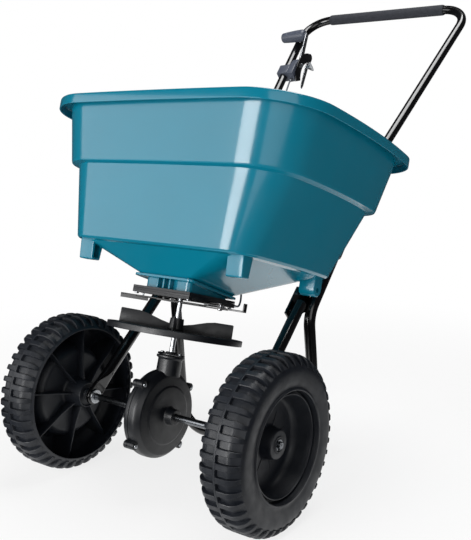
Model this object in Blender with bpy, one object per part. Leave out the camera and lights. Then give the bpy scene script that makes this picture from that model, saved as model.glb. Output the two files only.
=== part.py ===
"""A walk-behind broadcast spreader: hopper, drop gate, spinner, gearbox, wheels, frame and handle.

World axes: +X along the axle to the side, -Y the spinner's side, +Y the handle's side, +Z up. The
origin is on the ground under the middle of the length. The empty axle_ground is under the axle.
The chassis rests tilted back on its stand. The hopper, gate, spinner and gearbox are drawn level,
under an empty on the axle that carries the tilt. In that level frame the letters below mean:
x along the axle, v to the rear and w up, all measured from the axle's middle.
"""

import math

import bmesh
import bpy
from mathutils import Matrix, Vector

# Driving dimensions, in metres
REST_TILT = math.radians(16.4)
GAP = 0.0003

AXLE_Y = -0.3671
WHEEL_RADIUS = 0.1524
WHEEL_WIDTH = 0.0808
WHEEL_OUTER_X = 0.2777
WHEEL_MIDDLE_X = WHEEL_OUTER_X - WHEEL_WIDTH / 2
WHEEL_STEPS = 36
AXLE_RADIUS = 0.00635
AXLE_HALF_LENGTH = 0.262
CLIP_X = 0.2564
CLIP_THICKNESS = 0.0012
FRAME_EYE_X = 0.1745
HUB_PIN_X = WHEEL_MIDDLE_X - 0.0483

HOPPER_WALL = 0.0035
RIM_TOP_W = 0.551
RIM_LOW_W = 0.533
STEP_W = 0.438
FLOOR_W = 0.295
NECK_W = 0.225

FRAME_TUBE_RADIUS = 0.0111
HANDLE_TUBE_RADIUS = 0.010
TUBE_WALL = 0.0015
STAND_FOOT = Vector((0.171, 0.273, FRAME_TUBE_RADIUS))
STAND_KNEE = Vector((0.1665, 0.2405, 0.3155))
HANDLE_FLARE = Vector((0.167, 0.5015, 0.600))
HANDLE_TOP = Vector((0.222, 0.874, 0.950))
COUPLER_PLACE = 0.42
GRIP_HALF_LENGTH = 0.155

SHAFT_RADIUS = 0.00475
SPINNER_RADIUS = 0.125
SPINNER_W = 0.150
SPINNER_THICKNESS = 0.004
SPINNER_LIP = 0.005
FIN_REACH = 0.105
FIN_HEIGHT = 0.026
FIN_TURN = math.radians(36)

GEAR_MODULE = 0.0025
RING_TEETH = 48
PINION_TEETH = 8
RING_RADIUS = GEAR_MODULE * RING_TEETH / 2
PINION_RADIUS = GEAR_MODULE * PINION_TEETH / 2
GEARBOX_RADIUS = 0.0807
GEARBOX_WALL = 0.003
GEARBOX_SEAM_X = -0.008
EAR_REACH = GEARBOX_RADIUS + 0.0035
EAR_TOP_X = 0.0065

PORT_RADIUS = 0.011
PORT_REACH = 0.050
PORT_ANGLES = [math.radians(angle) for angle in (52, 90, 128)]
GATE_TRAVEL = 0.030
SLIDE_TRAVEL = 0.015

CONTROL_Z = 0.824
LEVER_LENGTH = 0.094

TEAL = "1C7F8F"
GLOSS_BLACK = "101113"
MOULDED_BLACK = "24262B"
WHEEL_BLACK = "2B2D33"
ZINC = "B9BCBE"
SLATE_GREY = "4A4E57"
FOAM_GREY = "34363F"
STEEL = "8E9194"


def clear_scene():
    for obj in list(bpy.data.objects):
        bpy.data.objects.remove(obj, do_unlink=True)


def linear(hex_colour):
    """An sRGB hex colour as the linear values that a shader takes."""
    values = [int(hex_colour[i : i + 2], 16) / 255 for i in (0, 2, 4)]
    return [v / 12.92 if v <= 0.04045 else ((v + 0.055) / 1.055) ** 2.4 for v in values]


def make_material(name, hex_colour, roughness, metallic=0.0):
    material = bpy.data.materials.new(name)
    material.use_nodes = True
    shader = material.node_tree.nodes["Principled BSDF"]
    shader.inputs["Base Color"].default_value = (*linear(hex_colour), 1)
    shader.inputs["Roughness"].default_value = roughness
    shader.inputs["Metallic"].default_value = metallic
    return material


def make_empty(name, matrix, parent=None):
    empty = bpy.data.objects.new(name, None)
    bpy.context.collection.objects.link(empty)
    empty.parent = parent
    empty.matrix_local = matrix
    return empty


def make_object(name, bm, material=None, parent=None, location=(0, 0, 0), rotation=(0, 0, 0)):
    """Turns a bmesh into an object, with its faces pointing out and round sides shaded smooth."""
    bmesh.ops.recalc_face_normals(bm, faces=bm.faces)
    if bm.calc_volume(signed=True) < 0:
        bmesh.ops.reverse_faces(bm, faces=bm.faces)
    mesh = bpy.data.meshes.new(name)
    bm.to_mesh(mesh)
    bm.free()
    mesh.shade_smooth()
    mesh.set_sharp_from_angle(angle=math.radians(35))
    obj = bpy.data.objects.new(name, mesh)
    bpy.context.collection.objects.link(obj)
    obj.parent = parent
    obj.location = location
    obj.rotation_euler = rotation
    if material:
        obj.data.materials.append(material)
    return obj


def combine(target, helper, operation):
    """Adds or cuts with a helper shape, which stays in the file as a hidden wire object."""
    helper.hide_render = True
    helper.display_type = "WIRE"
    modifier = target.modifiers.new(operation.title(), "BOOLEAN")
    modifier.operation = operation
    modifier.solver = "EXACT"
    modifier.object = helper


def skin(rings, closed=False):
    """A bmesh that joins equal rings of points; the ends are capped unless the last joins the first."""
    bm = bmesh.new()
    loops = [[bm.verts.new(point) for point in ring] for ring in rings]
    count = len(rings[0])
    pairs = list(zip(loops, loops[1:]))
    if closed:
        pairs.append((loops[-1], loops[0]))
    for low, high in pairs:
        for i in range(count):
            j = (i + 1) % count
            bm.faces.new((low[i], low[j], high[j], high[i]))
    if not closed:
        bm.faces.new(loops[0])
        bm.faces.new(loops[-1])
    return bm


def turned(profile, axis="Z", steps=24):
    """A bmesh turned from a closed profile of (radius, height). A profile may start and end on the axis."""
    bm = bmesh.new()

    def place(radius, height, angle):
        across = (radius * math.cos(angle), radius * math.sin(angle))
        return (height, *across) if axis == "X" else (*across, height)

    rows = []
    for radius, height in profile:
        turns = steps if radius > 0 else 1
        angles = [2 * math.pi * (i + 0.5) / steps for i in range(turns)]
        rows.append([bm.verts.new(place(radius, height, angle)) for angle in angles])
    pairs = list(zip(rows, rows[1:]))
    if profile[0][0] > 0:
        pairs.append((rows[-1], rows[0]))
    for low, high in pairs:
        for i in range(steps):
            j = (i + 1) % steps
            corners = [low[i % len(low)], low[j % len(low)], high[j % len(high)], high[i % len(high)]]
            unique = list(dict.fromkeys(corners))
            if len(unique) > 2:
                bm.faces.new(unique)
    return bm


def slab(outline, low, high, axes="XYZ"):
    """A bmesh of a flat outline (a, b) extruded from low to high. axes names where a, b and the depth go."""
    order = ["XYZ".index(letter) for letter in axes]

    def place(a, b, depth):
        point = [0.0, 0.0, 0.0]
        for index, value in zip(order, (a, b, depth)):
            point[index] = value
        return point

    return skin([[place(a, b, low) for a, b in outline], [place(a, b, high) for a, b in outline]])


def rectangle(low_a, high_a, low_b, high_b):
    return [(low_a, low_b), (high_a, low_b), (high_a, high_b), (low_a, high_b)]


def arc(centre, radius, start, end, steps):
    """Points along an arc, with angles in degrees."""
    angles = [math.radians(start + (end - start) * i / steps) for i in range(steps + 1)]
    return [(centre[0] + radius * math.cos(a), centre[1] + radius * math.sin(a)) for a in angles]


def capsule(start, end, radius, steps=6):
    """The outline of a slot or a link whose round ends are centred on start and end."""
    along = math.degrees(math.atan2(end[1] - start[1], end[0] - start[0]))
    first = arc(start, radius, along + 90, along + 270, steps)
    return first + arc(end, radius, along - 90, along + 90, steps)


def rounded_path(corners, radii, steps=5):
    """A path through corners, each inner one rounded to its radius."""
    path = [corners[0]]
    for before, corner, after, radius in zip(corners, corners[1:], corners[2:], radii):
        back = (before - corner).normalized()
        ahead = (after - corner).normalized()
        half = back.angle(ahead) / 2
        reach = radius / math.tan(half)
        middle = corner + (back + ahead).normalized() * radius / math.sin(half)
        first = corner + back * reach - middle
        last = corner + ahead * reach - middle
        turn = first.angle(last)
        for i in range(steps + 1):
            share = i / steps
            weights = math.sin((1 - share) * turn) / math.sin(turn), math.sin(share * turn) / math.sin(turn)
            path.append(middle + first * weights[0] + last * weights[1])
    path.append(corners[-1])
    return path


def smooth_path(points, steps=4):
    """A Catmull-Rom curve through the points."""
    ends = [points[0] * 2 - points[1], *points, points[-1] * 2 - points[-2]]
    path = []
    for a, b, c, d in zip(ends, ends[1:], ends[2:], ends[3:]):
        for i in range(steps):
            t = i / steps
            path.append(
                0.5 * (2 * b + (c - a) * t + (2 * a - 5 * b + 4 * c - d) * t**2
                       + (3 * b - a - 3 * c + d) * t**3)
            )
    path.append(points[-1])
    return path


def swept(path, radius, sides=12, bore=0.0):
    """A bmesh of a round bar or an open tube along a path, its rings turned as little as possible."""
    tangents = []
    for i in range(len(path)):
        before = path[max(i - 1, 0)]
        after = path[min(i + 1, len(path) - 1)]
        tangents.append((after - before).normalized())
    normal = tangents[0].orthogonal().normalized()
    rings = []
    linings = []
    for point, tangent in zip(path, tangents):
        normal = (normal - tangent * normal.dot(tangent)).normalized()
        side = tangent.cross(normal)
        spokes = [normal * math.cos(math.tau * k / sides) + side * math.sin(math.tau * k / sides)
                  for k in range(sides)]
        rings.append([point + spoke * radius for spoke in spokes])
        linings.append([point + spoke * bore for spoke in spokes])
    if bore:
        return skin(rings + linings[::-1], closed=True)
    return skin(rings)


def toothed_ring(teeth, tip, root, bore, low, high):
    """A bmesh of a spur gear blank: a toothed outline and a round bore, between two heights along Z."""
    outer = []
    inner = []
    for i in range(teeth * 4):
        angle = 2 * math.pi * (i + 0.5) / (teeth * 4)
        radius = tip if i % 4 in (1, 2) else root
        outer.append((radius * math.cos(angle), radius * math.sin(angle)))
        inner.append((bore * math.cos(angle), bore * math.sin(angle)))
    rings = [[(a, b, height) for a, b in outline] for outline, height in
             ((inner, low), (outer, low), (outer, high), (inner, high))]
    return skin(rings, closed=True)


def headed_pin(name, material, parent, matrix, shank, head_radius, head_height, length, sides=12):
    """A bolt, screw or pin along its own Z: the head's underside is at 0 and the shank runs to -length."""
    profile = [
        (0, head_height),
        (head_radius * 0.8, head_height),
        (head_radius, head_height * 0.6),
        (head_radius, 0),
        (shank, 0),
        (shank, -length),
        (0, -length),
    ]
    pin = make_object(name, turned(profile, steps=sides), material, parent)
    pin.matrix_local = matrix
    return pin


def hex_bolt(name, material, parent, matrix, shank, head_width, head_height, length):
    """A hexagon-headed bolt along its own Z, head underside at 0, made as one skin."""
    head = head_width / math.sqrt(3)
    rings = []
    for radius, height, turn in (
        (shank, -length, 0),
        (shank, 0, 0),
        (head, 0, 0),
        (head, head_height, 0),
    ):
        rings.append([
            (radius * math.cos(math.tau * k / 6 + turn), radius * math.sin(math.tau * k / 6 + turn), height)
            for k in range(6)
        ])
    bolt = make_object(name, skin(rings), material, parent)
    bolt.matrix_local = matrix
    return bolt


def facing(point, direction):
    """A matrix at a point whose Z runs along a direction."""
    return Matrix.Translation(point) @ Vector(direction).to_track_quat("Z", "Y").to_matrix().to_4x4()


def mirrored(point, side):
    return Vector((point.x * side, point.y, point.z))


def hopper_outline(half_width, front, back, front_radius, back_radius, side_bulge, front_bulge, front_w,
                   back_w=None):
    """One level of the hopper: a rounded rectangle in x and v whose sides and front bow out."""
    if back_w is None:
        back_w = front_w
    right = [(half_width - front_radius) * i / 4 for i in range(4)]
    points = [(x, front) for x in right]
    points += arc((half_width - front_radius, front + front_radius), front_radius, -90, 0, 6)
    depth = back - front
    start, end = front + front_radius, back - back_radius
    points += [(half_width, start + (end - start) * i / 4) for i in (1, 2, 3)]
    points += arc((half_width - back_radius, back - back_radius), back_radius, 0, 90, 6)
    points += [((half_width - back_radius) * i / 3, back) for i in (2, 1, 0)]
    half = []
    for x, v in points:
        along = (v - front) / depth
        side = side_bulge * 4 * along * (1 - along) * x / half_width
        nose = front_bulge * (1 - (x / half_width) ** 2) * max(1 - 2 * along, 0)
        half.append((x + side, v - nose, front_w + (back_w - front_w) * along))
    return half + [(-x, v, w) for x, v, w in reversed(half[1:-1])]


def make_hopper(material, chassis):
    """The open hopper: rolled rim, wide upper tier, step, lower tier, sloped floor and outlet neck."""
    wall = HOPPER_WALL
    outer = [
        hopper_outline(0.281, -0.166, 0.314, 0.098, 0.083, 0.022, 0.006, RIM_TOP_W),
        hopper_outline(0.284, -0.169, 0.317, 0.100, 0.085, 0.022, 0.006, RIM_TOP_W - 0.005),
        hopper_outline(0.284, -0.169, 0.317, 0.100, 0.085, 0.022, 0.006, RIM_LOW_W),
        hopper_outline(0.262, -0.149, 0.293, 0.084, 0.074, 0.022, 0.006, RIM_LOW_W + 0.001),
        hopper_outline(0.248, -0.137, 0.272, 0.080, 0.070, 0.020, 0.006, STEP_W + 0.004),
        hopper_outline(0.244, -0.133, 0.268, 0.076, 0.066, 0.020, 0.006, STEP_W - 0.003),
        hopper_outline(0.232, -0.123, 0.256, 0.068, 0.060, 0.020, 0.006, STEP_W - 0.007),
        hopper_outline(0.198, -0.116, 0.206, 0.058, 0.056, 0.016, 0.005, FLOOR_W + 0.005),
        hopper_outline(0.193, -0.111, 0.201, 0.054, 0.052, 0.016, 0.005, FLOOR_W),
        hopper_outline(0.180, -0.099, 0.188, 0.046, 0.044, 0.014, 0.004, FLOOR_W - 0.001),
        hopper_outline(0.062, -0.058, 0.076, 0.010, 0.010, 0.0, 0.0, 0.248, 0.232),
        hopper_outline(0.069, -0.064, 0.083, 0.012, 0.012, 0.0, 0.0, 0.247, 0.231),
        hopper_outline(0.069, -0.064, 0.083, 0.012, 0.012, 0.0, 0.0, 0.243, 0.227),
        hopper_outline(0.052, -0.046, 0.074, 0.010, 0.010, 0.0, 0.0, 0.242, 0.2268),
        hopper_outline(0.052, -0.046, 0.074, 0.010, 0.010, 0.0, 0.0, NECK_W),
    ]
    inner = [
        hopper_outline(0.0485, -0.0425, 0.0705, 0.007, 0.007, 0.0, 0.0, NECK_W),
        hopper_outline(0.0485, -0.0425, 0.0705, 0.007, 0.007, 0.0, 0.0, 0.246, 0.2345),
        hopper_outline(0.058, -0.053, 0.0725, 0.008, 0.008, 0.0, 0.0, 0.2525, 0.2365),
        hopper_outline(0.178, -0.096, 0.186, 0.043, 0.041, 0.014, 0.004, FLOOR_W + wall),
        hopper_outline(0.1945, -0.1125, 0.2025, 0.0545, 0.0525, 0.016, 0.005, FLOOR_W + 0.010),
        hopper_outline(0.2283, -0.1193, 0.2523, 0.0645, 0.0565, 0.020, 0.006, STEP_W - 0.0045),
        hopper_outline(0.2405, -0.1295, 0.2645, 0.0725, 0.0625, 0.020, 0.006, STEP_W + 0.0005),
        hopper_outline(0.2445, -0.1335, 0.2685, 0.0765, 0.0665, 0.020, 0.006, STEP_W + 0.007),
        hopper_outline(0.2585, -0.1455, 0.2895, 0.0805, 0.0705, 0.022, 0.006, RIM_LOW_W + 0.004),
        hopper_outline(0.2615, -0.1485, 0.2925, 0.0835, 0.0725, 0.022, 0.006, RIM_TOP_W),
    ]
    hopper = make_object("hopper", skin(outer + inner, closed=True), material, chassis)
    for side in (-1, 1):
        for place, v in (("front", -0.078), ("rear", 0.163)):
            lug = slab(lug_outline(v), 0.155 * side, 0.189 * side, "YZX")
            name = f"lug_shape_{place}_{'left' if side < 0 else 'right'}"
            combine(hopper, make_object(name, lug, parent=chassis), "UNION")
    return hopper


def lug_outline(v):
    """A mounting lug's outline in v and w: straight sides into the floor and a round lower end."""
    top = FLOOR_W + 0.0015
    lower = arc((v, 0.272), 0.014, 180, 360, 6)
    return [(v + 0.014, top), (v - 0.014, top)] + lower


def ports(shift=0.0):
    return [(PORT_REACH * math.cos(a), PORT_REACH * math.sin(a) - shift) for a in PORT_ANGLES]


def cut_holes(target, chassis, centres, radius, low, high, axis="Z", steps=16):
    """Drills round holes from low to high along an axis of the target's own frame."""
    for number, (a, b) in enumerate(centres, 1):
        drill = turned([(0, low), (radius, low), (radius, high), (0, high)], axis, steps)
        location = (0, a, b) if axis == "X" else (a, b, 0)
        cutter = make_object(f"{target.name}_drill_{len(target.modifiers)}_{number}", drill, None, chassis,
                             location)
        combine(target, cutter, "DIFFERENCE")


def make_outlet(materials, chassis):
    """Under the neck: the ported outlet plate, the sliding gate, its guide and the pattern slide."""
    screws = [(x, v) for x in (-0.0605, 0.0605) for v in (-0.054, 0.072)]
    outline = rectangle(-0.066, 0.066, -0.060, 0.079)
    plate = make_object("outlet_plate", slab(outline, 0.2207, NECK_W - GAP), materials["moulded"], chassis)
    cut_holes(plate, chassis, [(0, 0)], SHAFT_RADIUS + 0.0004, 0.21, 0.24)
    cut_holes(plate, chassis, ports(), PORT_RADIUS, 0.21, 0.24)
    cut_holes(plate, chassis, screws, 0.0024, 0.21, 0.24, steps=8)

    guide_section = [
        (-0.066, 0.212), (0.066, 0.212), (0.066, 0.2204), (0.0562, 0.2204),
        (0.0562, 0.2167), (-0.0562, 0.2167), (-0.0562, 0.2204), (-0.066, 0.2204),
    ]
    guide = make_object("gate_guide", slab(guide_section, -0.060, 0.079, "XZY"), materials["moulded"],
                        chassis)
    cut_holes(guide, chassis, [(0, 0)], SHAFT_RADIUS + 0.0004, 0.20, 0.23)
    cut_holes(guide, chassis, ports(), PORT_RADIUS, 0.20, 0.23)
    cut_holes(guide, chassis, screws, 0.0024, 0.20, 0.23, steps=8)

    gate_outline = [
        (-0.0555, -0.052), (0.0555, -0.052), (0.0555, 0.068), (0.012, 0.068),
        (0.008, 0.092), (-0.008, 0.092), (-0.012, 0.068), (-0.0555, 0.068),
    ]
    gate = make_object("flow_gate", slab(gate_outline, 0.2171, 0.2200), materials["zinc"], chassis)
    slot = slab(capsule((0, 0), (0, -GATE_TRAVEL), SHAFT_RADIUS + 0.0005), 0.21, 0.23)
    combine(gate, make_object("gate_slot_shape", slot, parent=chassis), "DIFFERENCE")
    cut_holes(gate, chassis, ports(GATE_TRAVEL), PORT_RADIUS, 0.21, 0.23)
    wire = turned([(0, 0.088), (0.0009, 0.088), (0.0009, 0.130), (0, 0.130)], steps=8)
    wire_shape = make_object("gate_wire_shape", wire, None, chassis, (0, 0, 0.21855), (-math.pi / 2, 0, 0))
    combine(gate, wire_shape, "UNION")

    anchor = turned([(0.0015, 0.1255), (0.0045, 0.1255), (0.0045, 0.162), (0.0015, 0.162)], steps=12)
    anchor_object = make_object("cable_anchor", anchor, materials["zinc"], chassis, (0, 0, 0.21855),
                                (-math.pi / 2, 0, 0))
    foot = slab(rectangle(-0.006, 0.006, 0.0794, 0.137), 0.2095, 0.2125)
    combine(anchor_object, make_object("anchor_foot_shape", foot, parent=chassis), "UNION")
    post = slab(rectangle(-0.003, 0.003, 0.128, 0.136), 0.211, 0.2155)
    combine(anchor_object, make_object("anchor_post_shape", post, parent=chassis), "UNION")

    for number, (x, v) in enumerate(screws, 1):
        headed_pin(f"outlet_screw_{number}", materials["zinc"], chassis,
                   facing((x, v, 0.212 - GAP), (0, 0, -1)),
                   0.0020, 0.004, 0.0028, 0.0155, 8)
    make_pattern_slide(materials, chassis)


def make_pattern_slide(materials, chassis):
    """The long strap that shifts sideways under the guide to trim the spread, with an upturned finger end."""
    half = 0.146
    thin = 0.0045
    outline = [
        (-half, -thin), (-0.106, -thin), (-0.100, -0.010), (-0.070, -0.012), (-0.060, -0.022),
        (0.060, -0.022), (0.070, -0.012), (0.100, -0.010), (0.106, -thin), (half, -thin),
        (half, thin), (0.106, thin), (0.100, 0.010), (0.074, 0.012), (0.064, 0.064),
        (-0.064, 0.064), (-0.074, 0.012), (-0.100, 0.010), (-0.106, thin), (-half, thin),
    ]
    slide = make_object("pattern_slide", slab(outline, 0.205, 0.208), materials["painted"], chassis)
    finger = slab(rectangle(half - 0.0025, half, -thin, thin), 0.2055, 0.221)
    combine(slide, make_object("slide_finger_shape", finger, parent=chassis), "UNION")
    shaft_slot = slab(capsule((-SLIDE_TRAVEL, 0), (SLIDE_TRAVEL, 0), SHAFT_RADIUS + 0.0006), 0.20, 0.21)
    combine(slide, make_object("slide_shaft_slot_shape", shaft_slot, parent=chassis), "DIFFERENCE")
    cut_holes(slide, chassis, ports(), PORT_RADIUS, 0.20, 0.215)
    for side, name in ((-1, "left"), (1, "right")):
        x = 0.092 * side
        slot = slab(capsule((x - SLIDE_TRAVEL, 0), (x + SLIDE_TRAVEL, 0), 0.0026), 0.20, 0.215)
        combine(slide, make_object(f"slide_slot_shape_{name}", slot, parent=chassis), "DIFFERENCE")
        hanger = slab([(0.0664 * side, -0.006), (0.098 * side, -0.006), (0.098 * side, 0.006),
                       (0.0664 * side, 0.006)],
                      0.2125, 0.2155)
        hanger_object = make_object(f"slide_hanger_{name}", hanger, materials["painted"], chassis)
        cut_holes(hanger_object, chassis, [(x, 0)], 0.0024, 0.205, 0.22, steps=8)
        headed_pin(f"slide_screw_{name}", materials["zinc"], chassis,
                   facing((x, 0, 0.205 - GAP), (0, 0, -1)),
                   0.0020, 0.0046, 0.003, 0.0125, 8)


def make_spinner(materials, chassis):
    """The spinner disc with its four fins, the upright shaft, the pinion and the agitator above."""
    top = SPINNER_THICKNESS
    profile = [
        (SHAFT_RADIUS + GAP, -0.004), (0.013, -0.004), (0.014, 0.0), (SPINNER_RADIUS - 0.0025, 0.0),
        (SPINNER_RADIUS - 0.0025, -SPINNER_LIP), (SPINNER_RADIUS, -SPINNER_LIP), (SPINNER_RADIUS, top),
        (0.015, top), (0.0125, 0.026), (SHAFT_RADIUS + GAP, 0.026),
    ]
    spinner = make_object("spinner", turned(profile, steps=48), materials["moulded"], chassis,
                          (0, 0, SPINNER_W))
    low_end = 0.0105
    fin = [
        (low_end, 0.003), (FIN_REACH, 0.003), (FIN_REACH - 0.003, top + FIN_HEIGHT),
        (0.085, top + FIN_HEIGHT + 0.0005), (0.055, top + FIN_HEIGHT - 0.004), (0.030, top + 0.015),
        (low_end, top + 0.011),
    ]
    for number in range(4):
        blade = make_object(f"fin_shape_{number + 1}", slab(fin, -0.0015, 0.0015, "XZY"), None, chassis,
                            (0, 0, SPINNER_W), (0, 0, FIN_TURN + number * math.pi / 2))
        combine(spinner, blade, "UNION")
    cut_holes(spinner, chassis, [(0, 0)], SHAFT_RADIUS + GAP, 0.10, 0.25, steps=24)

    shaft = turned([(0, 0.048), (SHAFT_RADIUS, 0.048), (SHAFT_RADIUS, 0.286), (0, 0.289)], steps=16)
    make_object("spinner_shaft", shaft, materials["zinc"], chassis)
    pinion = toothed_ring(PINION_TEETH, PINION_RADIUS - 0.0006, PINION_RADIUS - 0.0035, SHAFT_RADIUS + GAP,
                          0.050, 0.068)
    make_object("pinion_gear", pinion, materials["steel"], chassis)

    collar = turned([(SHAFT_RADIUS + GAP, 0.262), (0.009, 0.262), (0.009, 0.276),
                     (SHAFT_RADIUS + GAP, 0.276)], steps=16)
    agitator = make_object("agitator", collar, materials["zinc"], chassis)
    for side in (-1, 1):
        path = [Vector((0.0068 * side, 0, 0.269)), Vector((0.026 * side, 0, 0.269)),
                Vector((0.038 * side, 0, 0.258))]
        arm = make_object(f"agitator_arm_shape_{side + 2}", swept(path, 0.0022, 8), None, chassis)
        combine(agitator, arm, "UNION")


def make_gearbox(materials, chassis):
    """Two moulded halves on the axle with a neck for the upright shaft, closed by four screws."""
    outer, wall, seam = GEARBOX_RADIUS, GEARBOX_WALL, GEARBOX_SEAM_X
    bore = AXLE_RADIUS + 0.0004
    left_profile = [
        (bore, -0.034), (0.014, -0.034), (0.0155, -0.022), (outer - 0.006, -0.0215), (outer, -0.0175),
        (outer, seam - GAP / 2), (outer - wall, seam - GAP / 2), (outer - wall, -0.0185), (bore, -0.0185),
    ]
    left = make_object("gearbox_left", turned(left_profile, "X", 32), materials["moulded"], chassis)
    right_profile = [
        (bore, 0.036), (0.014, 0.036), (0.0155, 0.0195), (0.052, 0.0175), (0.072, 0.0145),
        (outer - 0.003, 0.0085),
        (outer, 0.0045), (outer, seam + GAP / 2), (outer - wall, seam + GAP / 2), (outer - wall, 0.0035),
        (0.0705, 0.0115), (0.051, 0.0145), (bore, 0.0165),
    ]
    right = make_object("gearbox_right", turned(right_profile, "X", 32), materials["moulded"], chassis)

    neck = turned([(0, 0.0705), (0.0225, 0.0705), (0.0225, 0.102), (0.026, 0.103), (0.026, 0.1065),
                   (0, 0.1065)])
    combine(right, make_object("neck_shape", neck, parent=chassis), "UNION")
    hollow = turned([(0, 0.060), (0.0115, 0.060), (0.0115, 0.086), (0, 0.086)], steps=16)
    combine(right, make_object("neck_hollow_shape", hollow, parent=chassis), "DIFFERENCE")
    cut_holes(right, chassis, [(0, 0)], SHAFT_RADIUS + 0.0004, 0.05, 0.13)
    notch = turned([(0, 0.0698), (0.0232, 0.0698), (0.0232, 0.12), (0, 0.12)])
    combine(left, make_object("neck_notch_shape", notch, parent=chassis), "DIFFERENCE")

    ears = [math.radians(angle) for angle in (38, 142, 222, 318)]
    centres = [(EAR_REACH * math.cos(a), EAR_REACH * math.sin(a)) for a in ears]
    for number, (v, w) in enumerate(centres, 1):
        left_ear = turned([(0, -0.0165), (0.0075, -0.0165), (0.0075, seam - GAP / 2), (0, seam - GAP / 2)],
                          "X", 12)
        right_ear = turned([(0, seam + GAP / 2), (0.0075, seam + GAP / 2), (0.0075, EAR_TOP_X),
                            (0, EAR_TOP_X)], "X", 12)
        combine(left, make_object(f"ear_shape_left_{number}", left_ear, None, chassis, (0, v, w)), "UNION")
        combine(right, make_object(f"ear_shape_right_{number}", right_ear, None, chassis, (0, v, w)),
                "UNION")
        headed_pin(f"gearbox_screw_{number}", materials["zinc"], chassis,
                   facing((EAR_TOP_X + GAP, v, w), (1, 0, 0)),
                   0.0018, 0.0042, 0.003, 0.022, 8)
    clear = outer - wall - 0.0005
    cavity = turned([(0, -0.0180), (clear, -0.0180), (clear, 0.0030), (0, 0.0030)], "X", 28)
    hollow_out = make_object("gear_cavity_shape", cavity, parent=chassis)
    combine(left, hollow_out, "DIFFERENCE")
    combine(right, hollow_out, "DIFFERENCE")
    cut_holes(left, chassis, centres, 0.0022, -0.02, 0.012, "X", 8)
    cut_holes(right, chassis, centres, 0.0022, -0.02, 0.012, "X", 8)

    cap = make_object("gearbox_cap", slab(cap_shape(), 0.1068, 0.1105), materials["moulded"], chassis)
    cut_holes(cap, chassis, [(0, 0)], SHAFT_RADIUS + 0.0004, 0.10, 0.12)
    for number, x in enumerate((-0.021, 0.021), 1):
        cut_holes(cap, chassis, [(x, 0)], 0.0022, 0.10, 0.12, steps=8)
        cut_holes(right, chassis, [(x, 0)], 0.0022, 0.095, 0.12, steps=8)
        headed_pin(f"cap_screw_{number}", materials["zinc"], chassis,
                   facing((x, 0, 0.1105 + GAP), (0, 0, 1)),
                   0.0018, 0.0040, 0.0025, 0.012, 8)


def cap_shape():
    """The bearing cap's outline: a round plate with a lug each side for its screws."""
    outline = []
    for side in (0, 180):
        outline += arc((0.021 * math.cos(math.radians(side)), 0), 0.0085, side - 60, side + 60, 4)
        outline += arc((0, 0), 0.018, side + 50, side + 130, 4)
    return outline


def make_axle_parts(materials, chassis):
    """The axle with the ring gear, and the bushes, washers and clips along it."""
    radius, end = AXLE_RADIUS, AXLE_HALF_LENGTH
    groove = (CLIP_X - 0.0003, CLIP_X + CLIP_THICKNESS + 0.0003)
    profile = [(0, -end), (radius - 0.001, -end), (radius, -end + 0.001)]
    for inner, outer_x in ((-groove[1], -groove[0]), groove):
        profile += [(radius, inner), (radius - 0.0008, inner), (radius - 0.0008, outer_x),
                    (radius, outer_x)]
    profile += [(radius, end - 0.001), (radius - 0.001, end), (0, end)]
    axle = make_object("axle", turned(profile, "X", 20), materials["steel"], chassis)
    drill = turned([(0, -0.02), (0.0027, -0.02), (0.0027, 0.02), (0, 0.02)], steps=12)
    combine(axle, make_object("pin_hole_shape", drill, None, chassis, (HUB_PIN_X, 0, 0)), "DIFFERENCE")

    pin = turned([(0, -0.021), (0.0024, -0.021), (0.0024, 0.021), (0, 0.021)], steps=12)
    make_object("hub_pin", pin, materials["zinc"], chassis, (HUB_PIN_X, 0, 0))

    bore = radius + GAP
    rim = RING_RADIUS + 0.0005
    web = turned([(bore, -0.0178), (rim, -0.0178), (rim, -0.0128), (0.054, -0.0128), (0.050, -0.0148),
                  (0.014, -0.0148), (0.014, 0.004), (bore, 0.004)], "X", 24)
    ring = make_object("ring_gear", web, materials["moulded"], chassis)
    crown_object = make_object("crown_teeth_shape", crown_teeth(rim), parent=chassis)
    combine(ring, crown_object, "UNION")

    for side, name in ((-1, "left"), (1, "right")):
        bush = [(bore, 0.166 * side), (0.0135, 0.166 * side), (0.0135, 0.1698 * side),
                (0.0094, 0.1698 * side),
                (0.0094, 0.1792 * side), (bore, 0.1792 * side)]
        make_object(f"axle_bush_{name}", turned(bush, "X", 20), materials["zinc"], chassis)
        washer = [(bore, 0.1798 * side), (0.0135, 0.1798 * side), (0.0135, 0.1822 * side),
                  (bore, 0.1822 * side)]
        make_object(f"axle_washer_{name}", turned(washer, "X", 20), materials["zinc"], chassis)
        clip = [(radius - 0.0005, CLIP_X * side), (0.0098, CLIP_X * side),
                (0.0098, (CLIP_X + CLIP_THICKNESS) * side),
                (radius - 0.0005, (CLIP_X + CLIP_THICKNESS) * side)]
        make_object(f"axle_clip_{name}", turned(clip, "X", 20), materials["steel"], chassis)


def crown_teeth(rim):
    """The ring gear's face teeth: a ring whose top steps up and down, just short of the pinion."""
    heights = {"base": -0.0138, "root": -0.0125, "tip": -0.0098}
    rings = [[], [], [], []]
    for i in range(RING_TEETH * 4):
        angle = 2 * math.pi * i / (RING_TEETH * 4)
        top = heights["tip"] if i % 4 in (1, 2) else heights["root"]
        across = (math.cos(angle), math.sin(angle))
        for ring, radius, x in (
            (rings[0], 0.0545, heights["base"]), (rings[1], rim - 0.0002, heights["base"]),
            (rings[2], rim - 0.0002, top), (rings[3], 0.0545, top),
        ):
            ring.append((x, radius * across[0], radius * across[1]))
    return skin(rings, closed=True)


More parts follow.
